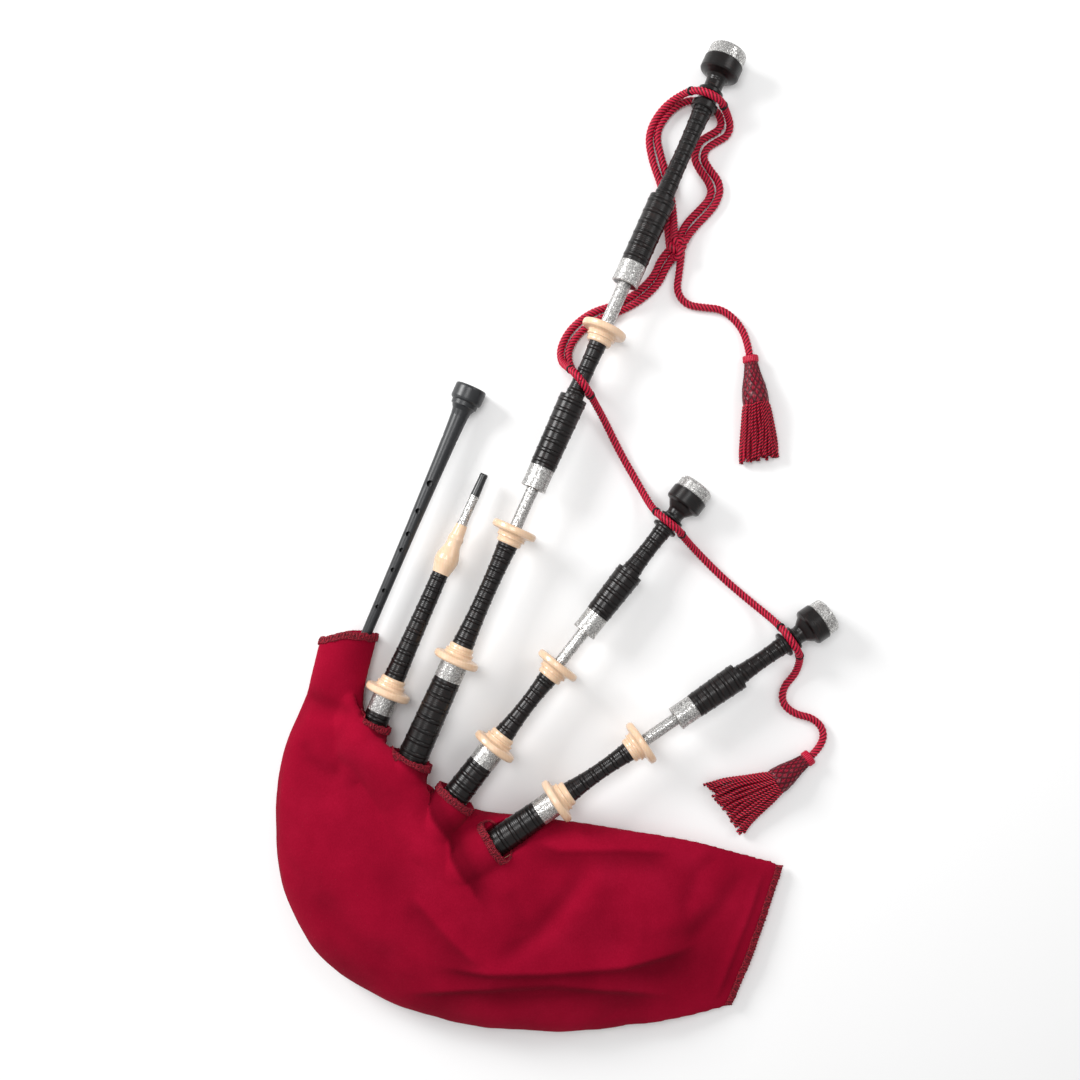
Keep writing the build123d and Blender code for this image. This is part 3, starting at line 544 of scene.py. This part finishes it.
def make_knot(lines, yarn):
    """A trefoil of the rope, with the ends of the lines that meet in it."""
    turns, knot_points = 64, []
    for i in range(turns + 1):
        t = 2 * math.pi * i / turns
        knot_points.append((KNOT_CENTRE[0] + 2.9 * (math.sin(t) + 2 * math.sin(2 * t)),
                            KNOT_CENTRE[1] + 3.9 * (math.cos(t) - 2 * math.cos(2 * t)),
                            KNOT_CENTRE[2] - 4.6 * math.sin(3 * t)))
    strands = [rope(evenly(np.array(knot_points) * MM, PATH_STEP), closed_ends=False)]
    for line in lines.values():
        for end, inner in ((line[0], line[3]), (line[-1], line[-4])):
            if np.linalg.norm(end / MM - KNOT_CENTRE) < KNOT_REACH:
                middle = end + (end - inner) * 1.5
                stub = np.array([end, middle, (middle + np.array(KNOT_CENTRE) * MM) / 2])
                strands.append(rope(evenly(stub, PATH_STEP), ROPE_RADIUS * 0.98))
    verts, faces, crest = join_parts(strands)
    knot = mesh_piece("knot", verts, faces, yarn, crest)
    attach(knot, "bass_top")
    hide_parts("cord_knot")
    return knot


def lay_loops(lines, yarn, carried):
    """The two loops and the upper run, which travel with the bass drone's top section."""
    for name, pieces in carried.items():
        piece = rope_piece(name.replace("cord", "rope"), lines[name], yarn)
        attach(piece, "bass_top")
        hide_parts(name)


def lay_return_run(points, yarn):
    piece = rope_piece("rope_return_run", points, yarn)
    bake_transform(piece)
    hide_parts("cord_return_run")


def lay_long_run(points, yarn, ties, lower_tassel):
    """The long run in spans, cut where it passes from one body to the next."""
    marks = [0, *(nearest(points, place) for place in LONG_CUTS), len(points) - 1]
    spans = (  # the two bodies, and the pieces that the span carries
        ("bass_top", "bass_middle", ties["bass_middle"]),
        ("bass_middle", "bag_and_stocks", []),
        ("bag_and_stocks", "inner_tenor_top", ties["inner_tenor_top"]),
        ("inner_tenor_top", "bag_and_stocks", []),
        ("bag_and_stocks", "outer_tenor_top", ties["outer_tenor_top"]),
        ("outer_tenor_top", "bag_and_stocks", lower_tassel),
    )
    step = np.linalg.norm(points[1] - points[0])
    for i, (from_body, to_body, carried) in enumerate(spans):
        part = points[marks[i]:marks[i + 1] + 1]
        piece = rope_piece(f"rope_long_run_{i}", part, yarn, marks[i] * step)
        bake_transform(piece)
        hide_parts("cord_long_run")


def make_cords(yarn, thread, upper_tassel, lower_tassel):
    routes = {"cord_loop_front": LOOP_FRONT, "cord_loop_back": LOOP_BACK, "cord_long_run": LONG_RUN,
              "cord_return_run": RETURN_RUN, "cord_upper_run": UPPER_RUN}
    lines = {name: route_line(name, route, PATH_STEP) for name, route in routes.items()}
    ties = lay_ties(lines, thread)
    knot = make_knot(lines, yarn)
    lay_loops(lines, yarn, {"cord_loop_front": ties["bass_top"], "cord_loop_back": [knot],
                            "cord_upper_run": upper_tassel})
    lay_return_run(lines["cord_return_run"], yarn)
    lay_long_run(lines["cord_long_run"], yarn, ties, lower_tassel)


# ---- tassels, mm ----
# tip, shoulder and end along the middle; the skirt's half width and half height at its end; how far it
# drifts to one side and how soon it widens
TASSELS = {
    "upper_tassel": dict(body="bass_top", tip=(232.9, 219, 10.5), shoulder=(239.5, 160, 14.5),
                         end=(246, 93, 8), spread=23, thickness=7.5, drift=2.0, widening=0.55, seed=3),
    "lower_tassel": dict(body="bag_and_stocks", tip=(307.5, -268.5, 10.5), shoulder=(263, -300, 14.5),
                         end=(199, -331, 7.5), spread=37, thickness=7, drift=-4.0, widening=0.9, seed=5),
}
HEAD_RADIUS = 15  # at the shoulder
HEAD_PROFILE = ((0, 5.0), (0.6, 8.6), (2, 9.6), (8, 9.7), (9.4, 8.6), (10, 7.4), (14, 8.2), (22, 9.6),
                (30, 11.6), (38, 13.6), (46, 14.8))
COLLAR_END = 9.5
COLLAR_RIBS, NET_CROSSINGS, HEAD_RIBS = 26, 6, 40
STRING_ROWS = ((1.0, 30), (0.72, 24), (0.42, 16), (0.12, 5))  # share of the skirt's section, strings
STRING_RADIUS = 2.0
FLOOR_CLEARANCE = 2.2  # of a string's centre line over the floor


def tassel_directions(tassel):
    """Down the tassel's head, across it and up out of it, and the head's length."""
    tip, shoulder = (np.array(tassel[key], float) for key in ("tip", "shoulder"))
    length = np.linalg.norm(shoulder - tip)
    down = (shoulder - tip) / length
    side = np.cross(down, (0, 0, 1))
    side /= np.linalg.norm(side)
    return down, side, np.cross(side, down), length


def tassel_head(name, tassel, satin):
    """A ribbed collar, and a head of fine ribs under a net of crossed threads."""
    down, side, up, length = tassel_directions(tassel)
    tip = np.array(tassel["tip"], float)
    stations = (*HEAD_PROFILE, (length - 4, 15.4), (length, HEAD_RADIUS), (length + 2, 12.5))
    places, radii = zip(*stations)
    heights = np.linspace(0, length + 2, 70)
    sides = 96
    verts, crest = [], []
    for h in heights:
        r = np.interp(h, places, radii)
        for angle in angles_round(sides):
            # crest values that the satin's colour turns into painted light on each rib and painted shade
            # between the ribs; the net's threads take the darkest value
            if h < COLLAR_END:
                rib = 0.5 + 0.5 * math.cos(angle * COLLAR_RIBS)
                radius, value = r - 0.5 + 0.5 * rib, 0.45 + 0.55 * rib
            else:
                around, climb = angle * NET_CROSSINGS, h * 0.30
                net = max(abs(math.cos(around + climb)) ** 10, abs(math.cos(around - climb)) ** 10)
                rib = 0.5 + 0.5 * math.cos(angle * HEAD_RIBS)
                radius, value = r + 0.8 * net - 0.3 * rib, (0.35 + 0.4 * rib) * (1 - net) + 0.05 * net
            place = tip + down * h + (side * math.cos(angle) + up * math.sin(angle) * 0.93) * radius
            verts.append(place * MM)
            crest.append(value)
    faces = quads(len(heights), sides)
    faces.append(tuple(range(sides)))
    faces.append(tuple(reversed([(len(heights) - 1) * sides + j for j in range(sides)])))
    return mesh_piece(name + "_head", np.array(verts), faces, satin, np.array(crest))


def skirt_string(tassel, a, b, inner, wobble, reach):
    """The line of one string that leaves the head a share a across it and b up it."""
    down, side, up, _ = tassel_directions(tassel)
    shoulder, end = (np.array(tassel[key], float) for key in ("shoulder", "end"))
    width, height = HEAD_RADIUS * 0.9, HEAD_RADIUS * 0.86
    line, steps = [], 25
    for k in range(steps + 1):
        u = k / steps * reach
        half_width = width + (tassel["spread"] - width) * u ** tassel["widening"]
        half_height = height + (tassel["thickness"] - height) * u ** 0.7
        wave = math.sin(u * 7 + wobble[0] * 3) * wobble[1] * 2.6 * u
        across = side * (a * half_width + wave + tassel["drift"] * u * u)
        place = shoulder + (end - shoulder) * u + across + up * (b * half_height)
        place = place + down * wobble[2] * 2 * u
        place[2] = max(place[2], FLOOR_CLEARANCE + 1.2 * inner)
        line.append(place)
    return evenly(np.array(line) * MM, 1.5 * MM)


def tassel_skirt(name, tassel, yarn):
    """Twisted strings that spread out of the head and come to lie on the floor."""
    rng = random.Random(tassel["seed"])
    parts = []
    for ring_share, count in STRING_ROWS:
        for i in range(count):
            angle = 2 * math.pi * (i + rng.random() * 0.6) / count
            wobble = [rng.uniform(-1, 1) for _ in range(4)]
            reach = 1.0 + rng.uniform(-0.07, 0.03)
            a, b = ring_share * math.cos(angle), ring_share * math.sin(angle)
            points = skirt_string(tassel, a, b, 1 - ring_share, wobble, reach)
            parts.append(strand_rings(points, STRING_RADIUS * MM, 2, 8.0 * MM, 10, rng.uniform(0, 6)))
    verts, faces, crest = join_parts(parts)
    return mesh_piece(name + "_skirt", verts, faces, yarn, crest)


def make_tassel(name, yarn, satin):
    tassel = TASSELS[name]
    pieces = [tassel_head(name, tassel, satin), tassel_skirt(name, tassel, yarn)]
    for piece in pieces:
        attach(piece, tassel["body"])
        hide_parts(name)
    return pieces


# ---- the cover, mm ----
EDGE_Z = 17.0
STATIONS = (  # left seam x, y; right seam x, y; top; bottom
    (-286, -126.6, -219.5, -120.6, 40, 1),
    (-305, -194, -238, -206, 45, -3),
    (-332, -265, -211, -262, 58, -4),
    (-341, -351, -150, -309, 70, -5),
    (-323, -445, -98, -332, 77, -5),
    (-264, -527, -44, -339, 78, -5),
    (-143, -582, 26, -348, 72, -5),
    (-23, -597, 98, -360, 60, -4),
    (98, -589, 172, -373, 40, -3),
    (211, -573, 275, -402, 11, 1),
)
# axis, stock's low end and radius, sleeve's mouth and its radius
SLEEVES = (
    ("blowpipe", -110.0, 16.0, -31.0, 18.5), ("bass", -165.0, 18.4, -120.0, 23.0),
    ("inner_tenor", -140.0, 17.0, -66.0, 24.0), ("outer_tenor", -122.0, 17.0, -80.0, 24.0),
)
SLEEVE_EXTRA = 9.0  # of the sleeve's radius over the stock's, at the stock's low end
VOXEL = 2.8
COVER_PROUD = 2.4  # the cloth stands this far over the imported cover, so that a crease can sink
CLOTH_OVER_BAG = 1.9
HIGH_ABOVE = Vector((-150, -450, 900))  # a place over the bag, where outside is up
NECK_RIM = (3.0, 5.5)  # over the neck's first station, at its corners and more in the middle
NECK_DIRECTION = (0.27, 0.96, 0.0)
TAIL_INWARD = (-0.93, 0.35, 0.0)
BRAID_WIDTH, TAIL_BRAID_WIDTH = 8.5, 10
BRAID_PERIOD = 7.5  # of the weave, along the rim
CLOTH_THICKNESS = 1.2
PANEL_EDGE = (  # of the front panel, where it laps over the roots of the sleeves
    (-76, -446), (-98, -420), (-109.7, -399.5), (-123.8, -377.2), (-132, -357.2), (-147.2, -331.4),
    (-155.5, -303.2), (-169.6, -279.7), (-191.9, -259.7), (-217.8, -239.7), (-236, -213), (-244, -190),
)
PANEL_ROLL = (  # share of the way along the edge, the roll's radius and its top
    (0, 6, 60), (0.15, 19, 75), (0.35, 27, 78), (0.65, 25, 76), (0.85, 19, 68), (1, 5, 44),
)
# points x, y; width on the left; height; width of the fall on the right (None: the same on both sides)
FOLDS = (
    (PANEL_EDGE, 26, 5.5, 6),
    (((-306, -188), (-279, -199), (-252.8, -206), (-238, -214)), 9, -3.6, None),
    (((-304, -212), (-280, -222), (-250, -232)), 16, 2.6, None),
    (((-306, -240), (-295, -264), (-272, -275), (-250, -279)), 12, -2.4, None),
    (((-326, -270), (-331, -340), (-330, -392), (-318, -432)), 10, 1.6, 3),
    (((38, -384), (9.5, -421), (-23, -458), (-82, -506)), 13, -3.6, None),
    (((60, -380), (30, -425), (0, -460), (-50, -500)), 22, 2.2, None),
    (((-175, -412), (-150, -442), (-120, -475), (-88, -505)), 12, 2.8, 9),
    (((-150, -500), (-87, -509), (-21.5, -511), (75, -508), (144, -496), (175, -485)), 22, 4.6, 9),
    (((-190, -540), (-112, -530), (-8, -526.7), (75, -538), (144, -554)), 14, 3.6, 8),
    (((-36, -360), (-1, -374), (75.6, -376), (139, -381)), 16, 3.4, 6),
    (((227, -399), (188, -448), (146, -490)), 14, -2.8, None),
    (((198, -380), (165, -402), (150, -440), (152, -470)), 10, -2.2, None),
    (((-60, -412), (-48, -440), (-40, -468)), 12, -1.8, None),
    (((100, -470), (150, -455), (200, -430)), 14, 1.8, None),
    (((-290, -420), (-240, -470), (-180, -500)), 18, -1.5, None),
    (((186, -574), (205, -520), (228, -462), (250, -402)), 7, 1.7, 3),
)


def station_at(t):
    """The bag's outline between two stations, on a smooth curve through them all."""
    rows = np.array(STATIONS, float)
    i = int(min(max(math.floor(t), 0), len(rows) - 2))
    u = t - i
    p1, p2 = rows[i], rows[i + 1]
    p0 = rows[i - 1] if i > 0 else 2 * p1 - p2
    p3 = rows[i + 2] if i + 2 < len(rows) else 2 * p2 - p1
    return 0.5 * (2 * p1 + (p2 - p0) * u + (2 * p0 - 5 * p1 + 4 * p2 - p3) * u * u
                  + (3 * p1 - p0 - 3 * p2 + p3) * u ** 3)


def cushion_ring(t, count):
    """The bag's section between its two seams, flat where it lies on the floor."""
    left_x, left_y, right_x, right_y, top, low = station_at(t)
    edge = min(EDGE_Z, (top + low) / 2)
    ring = []
    for angle in angles_round(count):
        share = (1 - math.cos(angle)) / 2
        height = math.sin(angle)
        z = edge + (top - edge) * height if height >= 0 else edge + (edge - low) * height
        ring.append((left_x + (right_x - left_x) * share, left_y + (right_y - left_y) * share, max(z, 0.3)))
    return ring


def panel_roll(count=48):
    """The rolled edge of the front panel, round at the fold and drawn out towards the panel."""
    line = evenly([(x, y, 0) for x, y in PANEL_EDGE], 6.0)
    tangents, _ = frames_along(line)
    shares, radii, tops = zip(*PANEL_ROLL)
    rings = []
    for i, (point, tangent) in enumerate(zip(line, tangents)):
        u = i / (len(line) - 1)
        radius, top = np.interp(u, shares, radii), np.interp(u, shares, tops)
        left = np.array((-tangent[1], tangent[0], 0))
        centre = point + left * (radius + 1)
        ring = []
        for angle in angles_round(count):
            stretch = 1.5 if math.cos(angle) > 0 else 1.0
            x, y, _ = centre + left * radius * stretch * math.cos(angle)
            ring.append((x, y, top - radius + radius * math.sin(angle)))
        rings.append(ring)
    return rings


def tube_rings(name, outline, count=64):
    """Rings round a piece's axis, at the distances and radii of an outline."""
    start, direction = axis_of(name)
    side = np.cross(direction, (0, 0, 1))
    side /= np.linalg.norm(side)
    up = np.cross(side, direction)
    rings = []
    for s, r in outline:
        centre = start + direction * s
        rings.append([tuple(centre + r * (side * math.cos(angle) + up * math.sin(angle)))
                      for angle in angles_round(count)])
    return rings


def rings_mesh(rings):
    count = len(rings[0])
    verts = [v for ring in rings for v in ring]
    faces = [tuple(reversed(range(count))), tuple((len(rings) - 1) * count + j for j in range(count))]
    return verts, faces + quads(len(rings), count)


def distance_to_line(x, y, line):
    """Signed distance to a polyline, positive on its right, and how far along it that is, from 0 to 1."""
    line = np.array(line, float)
    best, sign, along = np.full(x.shape, 1e9), np.ones(x.shape), np.zeros(x.shape)
    lengths = np.linalg.norm(np.diff(line, axis=0), axis=1)
    total, done = lengths.sum(), 0.0
    for (ax, ay), (bx, by), length in zip(line, line[1:], lengths):
        dx, dy = (bx - ax) / length, (by - ay) / length
        t = np.clip((x - ax) * dx + (y - ay) * dy, 0, length)
        px, py = x - ax - dx * t, y - ay - dy * t
        distance = np.hypot(px, py)
        closer = distance < best
        best = np.where(closer, distance, best)
        sign = np.where(closer, np.sign(px * dy - py * dx), sign)
        along = np.where(closer, (done + t) / total, along)
        done += length
    return best * sign, along


def cover_shape(cloth):
    """The cover and its sleeves as one skin, with its mouths cut open."""
    body = rings_mesh([cushion_ring(t, 96) for t in np.linspace(-0.14, len(STATIONS) - 1, 120)])
    solids = [body, rings_mesh(panel_roll())]
    for name, low, low_r, mouth, mouth_r in SLEEVES:
        r = low_r + SLEEVE_EXTRA
        outline = ((low - 60, r - 14), (low - 5, r), (low + 14, r), (mouth + 5, mouth_r))
        solids.append(rings_mesh(tube_rings(name, outline)))
    verts, faces = [], []
    for part_verts, part_faces in solids:
        offset = len(verts)
        faces += [tuple(i + offset for i in face) for face in part_faces]
        verts += part_verts
    piece = mesh_piece("bag_cover_cloth", [tuple(c * MM for c in v) for v in verts], faces, cloth)
    remesh = piece.modifiers.new("remesh", "REMESH")
    remesh.mode = "VOXEL"
    remesh.voxel_size = VOXEL * MM
    smooth(piece, 7)
    cut_mouths(piece, BVHTree.FromPolygons([Vector(v) for v in body[0]], body[1]))
    return piece


def smooth(piece, rounds):
    """Smooths the piece after the modifiers that it already has, and applies them all."""
    modifier = piece.modifiers.new("smooth", "SMOOTH")
    modifier.factor = 0.5
    modifier.iterations = rounds
    apply_modifiers(piece)


def apply_modifiers(piece):
    depsgraph = bpy.context.evaluated_depsgraph_get()
    mesh = bpy.data.meshes.new_from_object(piece.evaluated_get(depsgraph))
    old = piece.data
    piece.modifiers.clear()
    piece.data = mesh
    bpy.data.meshes.remove(old)
    mesh.polygons.foreach_set("use_smooth", [True] * len(mesh.polygons))


def beyond_sleeves(places, body_tree):
    """Marks the places that lie past a sleeve's mouth and clear of the bag's own cushion."""
    gone = np.zeros(len(places), bool)
    _, normal, _, _ = body_tree.find_nearest(HIGH_ABOVE)
    outside = math.copysign(1, normal.z)
    for name, _, _, mouth, mouth_r in SLEEVES:
        start, direction = axis_of(name)
        s = (places - start) @ direction
        radial = np.linalg.norm(places - start - s[:, None] * direction, axis=1)
        near = np.nonzero((s > mouth) & (s < mouth + 12) & (radial < mouth_r + 3))[0]
        for i in near:
            place = Vector(places[i])
            hit, normal, _, distance = body_tree.find_nearest(place)
            if (place - hit).dot(normal) * outside > 0 and distance > 2.5:
                gone[i] = True
    return gone


def beyond_neck(places):
    """Marks the places past the neck's rim, which bows out a little in the middle."""
    left, right = np.array(STATIONS[0][:2], float), np.array(STATIONS[0][2:4], float)
    across = (right - left) / np.linalg.norm(right - left)
    along = (places[:, :2] - left) @ across / np.linalg.norm(right - left)
    over = (places[:, :2] - left) @ np.array((-across[1], across[0]))
    return over > NECK_RIM[0] + NECK_RIM[1] * np.sin(math.pi * np.clip(along, 0, 1))


def cut_mouths(piece, body_tree):
    mesh = bmesh.new()
    mesh.from_mesh(piece.data)
    places = np.array([tuple(v.co) for v in mesh.verts]) / MM
    gone = beyond_sleeves(places, body_tree) | beyond_neck(places)
    mesh.verts.ensure_lookup_table()
    bmesh.ops.delete(mesh, geom=[mesh.verts[i] for i in np.nonzero(gone)[0]], context="VERTS")
    loose = [v for v in mesh.verts if not v.link_faces]
    bmesh.ops.delete(mesh, geom=loose, context="VERTS")
    mesh.to_mesh(piece.data)
    mesh.free()


def press_round_stocks(places):
    """Lets the stocks that lie in the cloth beyond their sleeves' mouths sink it into a trough."""
    for name, _, low_r, mouth, _ in SLEEVES:
        start, direction = axis_of(name)
        s = (places - start) @ direction
        level = np.array((-direction[1], direction[0])) / math.hypot(direction[0], direction[1])
        lateral = np.abs((places[:, :2] - start[:2]) @ level)
        radius = low_r + 1.4
        below = np.sqrt(np.clip(radius ** 2 - lateral ** 2, 0, None))
        height = places[:, 2] - (start[2] + s * direction[2])
        inside = (s > mouth + 0.6) & (s < 40) & (lateral < radius)
        inside &= (height > -below) & (height < radius + 14)
        places[:, 2] = np.where(inside, places[:, 2] - height - below, places[:, 2])
    return places


def ease(value):
    value = np.clip(value, 0, 1)
    return value * value * (3 - 2 * value)


def keep_over_bag(places, normals):
    """Lifts the cloth wherever a crease would sink it into the bag."""
    bag = NODES["bag"]
    tree = BVHTree.FromPolygons([bag.matrix_world @ v.co for v in bag.data.vertices],
                                [tuple(p.vertices) for p in bag.data.polygons])
    reach = 14.0
    for i in np.nonzero(normals[:, 2] > -0.3)[0]:
        normal = Vector(normals[i])
        start = Vector(places[i]) + normal * reach
        _, _, _, distance = tree.ray_cast(start * MM, -normal, 2 * reach * MM)
        if distance is not None and distance / MM < reach + CLOTH_OVER_BAG:
            places[i] = start - normal * (distance / MM - CLOTH_OVER_BAG)
    return places


def crease(distance, width, height):
    """The share of its height, and the painted tone of a ridge or a valley (painted light on a ridge, painted
    shade in a valley), by the distance to its line.
    """
    return np.exp(-(distance / width) ** 2), height / 7 * np.exp(-(distance / width / 0.7) ** 2)


def lap(distance, width, height, fall):
    """The same for a fold that rises on its left and drops on its right: painted light on its rise, and a
    painted dark line of shade below its drop.
    """
    rise = np.exp(-(distance / width) ** 2)
    dark = -height / 4.5 * np.exp(-((distance - fall) / (2.2 * fall)) ** 2)
    light = height / 18 * rise
    value = np.where(distance > 0, 1 - ease(distance / fall), rise)
    return value, light + (dark - light) * ease((distance + 3) / 6)


def fold_cloth(piece):
    """Gives the cloth its creases and small puckers, and stores painted shade and light for them."""
    mesh = piece.data
    count = len(mesh.vertices)
    places, normals = np.empty(count * 3), np.empty(count * 3)
    mesh.vertices.foreach_get("co", places)
    mesh.vertex_normals.foreach_get("vector", normals)
    places, normals = places.reshape(-1, 3) / MM, normals.reshape(-1, 3)
    upper = np.clip((normals[:, 2] + 0.1) / 0.5, 0, 1)
    shift, shade = np.zeros(count), np.zeros(count)
    for line, width, height, fall in FOLDS:
        distance, along = distance_to_line(places[:, 0], places[:, 1], line)
        fade = ease(np.minimum(along, 1 - along) / 0.2)
        value, tone = lap(distance, width, height, fall) if fall else crease(distance, width, height)
        shift += height * value * fade
        # painted shade in the creases and under each lap, painted light on the ridges
        shade += tone * fade
    for i, place in enumerate(places):
        wide = noise.noise(Vector(place) / 62.0)
        small = noise.noise(Vector((place[0] / 21.0, place[1] / 30.0, place[2] / 30.0)) + Vector((7, 3, 1)))
        shift[i] += 2.8 * wide + 0.7 * small
        # painted light on the broad swells and painted shade in the broad dips, following the same noise that
        # lifts the cloth
        shade[i] += 0.45 * wide
    places = places + normals * ((COVER_PROUD + shift) * upper)[:, None]
    places = keep_over_bag(places, normals)
    places = press_round_stocks(places)
    places[:, 2] = np.maximum(places[:, 2], 0.3)
    mesh.vertices.foreach_set("co", (places * MM).ravel())
    # the painted shade and light, kept as the crest attribute that the cloth's colour reads
    mesh.attributes.new("crest", "FLOAT", "POINT").data.foreach_set("value", np.clip(shade, -1, 0.8))
    mesh.update()


def rim_loops(piece):
    """The closed edge loops of the cloth, each a list of places in metres."""
    mesh = bmesh.new()
    mesh.from_mesh(piece.data)
    open_edges = {e.index: e for e in mesh.edges if e.is_boundary}
    loops = []
    while open_edges:
        _, edge = open_edges.popitem()
        loop = [edge.verts[0], edge.verts[1]]
        while True:
            nearby = [e for e in loop[-1].link_edges if e.index in open_edges]
            if not nearby:
                break
            del open_edges[nearby[0].index]
            loop.append(nearby[0].other_vert(loop[-1]))
        loops.append(np.array([tuple(v.co) for v in loop]))
    mesh.free()
    return [loop for loop in loops if len(loop) > 12]


def smooth_loop(points, rounds):
    points = points.copy()
    for _ in range(rounds):
        points = (np.roll(points, 1, axis=0) + 2 * points + np.roll(points, -1, axis=0)) / 4
    return points


def braid(name, rim, inward, width, cover_tree, material, closed=True):
    """Gimp edging: four silk strands that weave from side to side along the rim, on the cloth."""
    parts = []
    lengths = np.concatenate([[0], np.cumsum(np.linalg.norm(np.diff(rim, axis=0), axis=1))])
    period = BRAID_PERIOD * MM
    if closed:
        period = lengths[-1] / max(3, round(lengths[-1] / period))
    for k in range(4):
        line = []
        for point, length in zip(rim, lengths):
            angle = 2 * math.pi * length / period + k * math.pi / 2
            across = (0.5 + 0.5 * math.sin(angle)) * width
            hit, normal, _, _ = cover_tree.find_nearest(Vector(point + inward * across))
            line.append(tuple(hit + normal * (0.9 + 0.6 * math.cos(2 * angle + k * math.pi)) * MM))
        parts.append(strand_rings(np.array(line), 1.1 * MM, 2, 4 * MM, 8, closed_ends=not closed))
    verts, faces, crest = join_parts(parts)
    piece = mesh_piece(name, verts, faces, material, crest)
    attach(piece, "bag_and_stocks")
    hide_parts("cover_trims")


def line_mouth(name, loop, sleeve, cloth):
    """The hem that is turned in from a sleeve's rim and gathered on the stock."""
    axis, _, stock_r, mouth, _ = sleeve
    start, direction = axis_of(axis)
    rings = [loop - direction * 0.6 * MM]
    away = loop / MM - start
    away = away - (away @ direction)[:, None] * direction
    radial = np.linalg.norm(away, axis=1)
    for depth, share in ((3.0, 0.45), (7.0, 0.8), (12.0, 1.0)):
        r = radial * (1 - share) + (stock_r + 0.6) * share
        pucker = 0.7 * np.sin(np.arange(len(loop)) * 0.9) * share
        outward = away / radial[:, None] * (r + pucker)[:, None]
        rings.append((start + direction * (mouth - depth) + outward) * MM)
    piece = mesh_piece(name, np.concatenate(rings), quads(len(rings), len(loop)), cloth)
    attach(piece, "bag_and_stocks")
    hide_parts("bag_cover")


def make_trims(cover, cloth, material):
    """The braid round each mouth and along the tail, and the hems turned in at the sleeves."""
    tree = BVHTree.FromPolygons([v.co.copy() for v in cover.data.vertices],
                                [tuple(p.vertices) for p in cover.data.polygons])
    left_x, left_y, right_x, right_y, top, _ = STATIONS[0]
    mouths = [(np.array((left_x + right_x, left_y + right_y, top)) / 2, np.array(NECK_DIRECTION))]
    for name, _, _, mouth, _ in SLEEVES:
        start, direction = axis_of(name)
        mouths.append((start + direction * mouth, direction))
    for i, loop in enumerate(rim_loops(cover)):
        loop = evenly(smooth_loop(loop, 3), 0.9 * MM)
        centre = loop.mean(axis=0) / MM
        near = min(range(len(mouths)), key=lambda k: np.linalg.norm(mouths[k][0] - centre))
        direction = mouths[near][1]
        braid(f"braid_{i}", loop, -direction, BRAID_WIDTH * MM, tree, material)
        if near:
            line_mouth(f"mouth_lining_{i}", loop, SLEEVES[near - 1], cloth)

    left_x, left_y, right_x, right_y, top, _ = STATIONS[-1]
    rim = evenly(np.array([(left_x + 1, left_y, top + 3), (right_x + 1, right_y, top + 3)]) * MM, 0.9 * MM)
    braid("braid_tail", rim, np.array(TAIL_INWARD), TAIL_BRAID_WIDTH * MM, tree, material, closed=False)


def make_cover(cloth, gimp):
    cover = cover_shape(cloth)
    fold_cloth(cover)
    smooth(cover, 3)
    make_trims(cover, cloth, gimp)
    solid = cover.modifiers.new("cloth", "SOLIDIFY")
    solid.thickness = CLOTH_THICKNESS * MM
    solid.offset = -1
    apply_modifiers(cover)
    cover.data.materials.clear()
    cover.data.materials.append(cloth)
    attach(cover, "bag_and_stocks")
    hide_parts("bag_cover")


# ---- everything ----
def dress_nodes():
    """Gives each CAD node the material of its own piece."""
    shared = {
        "imitation_ivory": ivory_material(),
        "hide": satin_material("hide", (0.33, 0.22, 0.13), 0.7, 0.15),
        "crimson_braid": satin_material("braid_plain", (0.2, 0.01, 0.02), 0.8, 0.2),
        "waxed_thread": satin_material("waxed_thread", (0.30, 0.20, 0.10), 0.6, 0.2),
        "hemp": satin_material("hemp", (0.55, 0.40, 0.20), 0.75, 0.2),
        "cane": satin_material("cane", (0.62, 0.45, 0.20), 0.5, 0.12),
        "black_plastic": satin_material("black_plastic", (0.012, 0.012, 0.013), 0.28, 0.2),
        "chanter_plastic": satin_material("chanter_plastic", (0.013, 0.014, 0.016), 0.36, 0.2),
        "valve_rubber": satin_material("valve_rubber", (0.03, 0.03, 0.03), 0.6, 0.2),
    }
    turned = [name for name in AXES if name != "chanter"]
    woods = {name: wood_material(name) for name in turned}
    silvers = {name: silver_material(name) for name in turned}
    slots = {row["node"]: row["material_slot"] for row in frame["record"]["subparts"]}
    for name, node in NODES.items():
        key = next((axis for axis in turned if name.startswith(axis)), "blowpipe")
        by_slot = {**shared, "blackwood": woods[key], "silver": silvers[key]}
        material = by_slot.get(slots[name])
        if material:
            node.data.materials.clear()
            node.data.materials.append(material)


def main():
    cloth = cloth_material()
    # each yarn's first colour is the painted highlight on its crests, the second the painted shade in its
    # grooves
    cord_yarn = yarn_material("cord_silk", (0.52, 0.009, 0.042), (0.014, 0.0002, 0.0015), 0.40)
    fringe_yarn = yarn_material("fringe_silk", (0.62, 0.011, 0.044), (0.016, 0.0002, 0.0015), 0.45)
    satin_yarn = yarn_material("tassel_satin", (0.60, 0.012, 0.048), (0.06, 0.0006, 0.006), 0.30)
    gimp_yarn = yarn_material("gimp_silk", (0.36, 0.012, 0.030), (0.07, 0.002, 0.007), 0.6)
    thread = yarn_material("black_thread", (0.015, 0.012, 0.012), (0.003, 0.003, 0.003), 0.5)
    make_stage()
    upper, lower = (make_tassel(name, fringe_yarn, satin_yarn) for name in ("upper_tassel", "lower_tassel"))
    make_cords(cord_yarn, thread, upper, lower)
    dress_nodes()
    make_cover(cloth, gimp_yarn)


main()
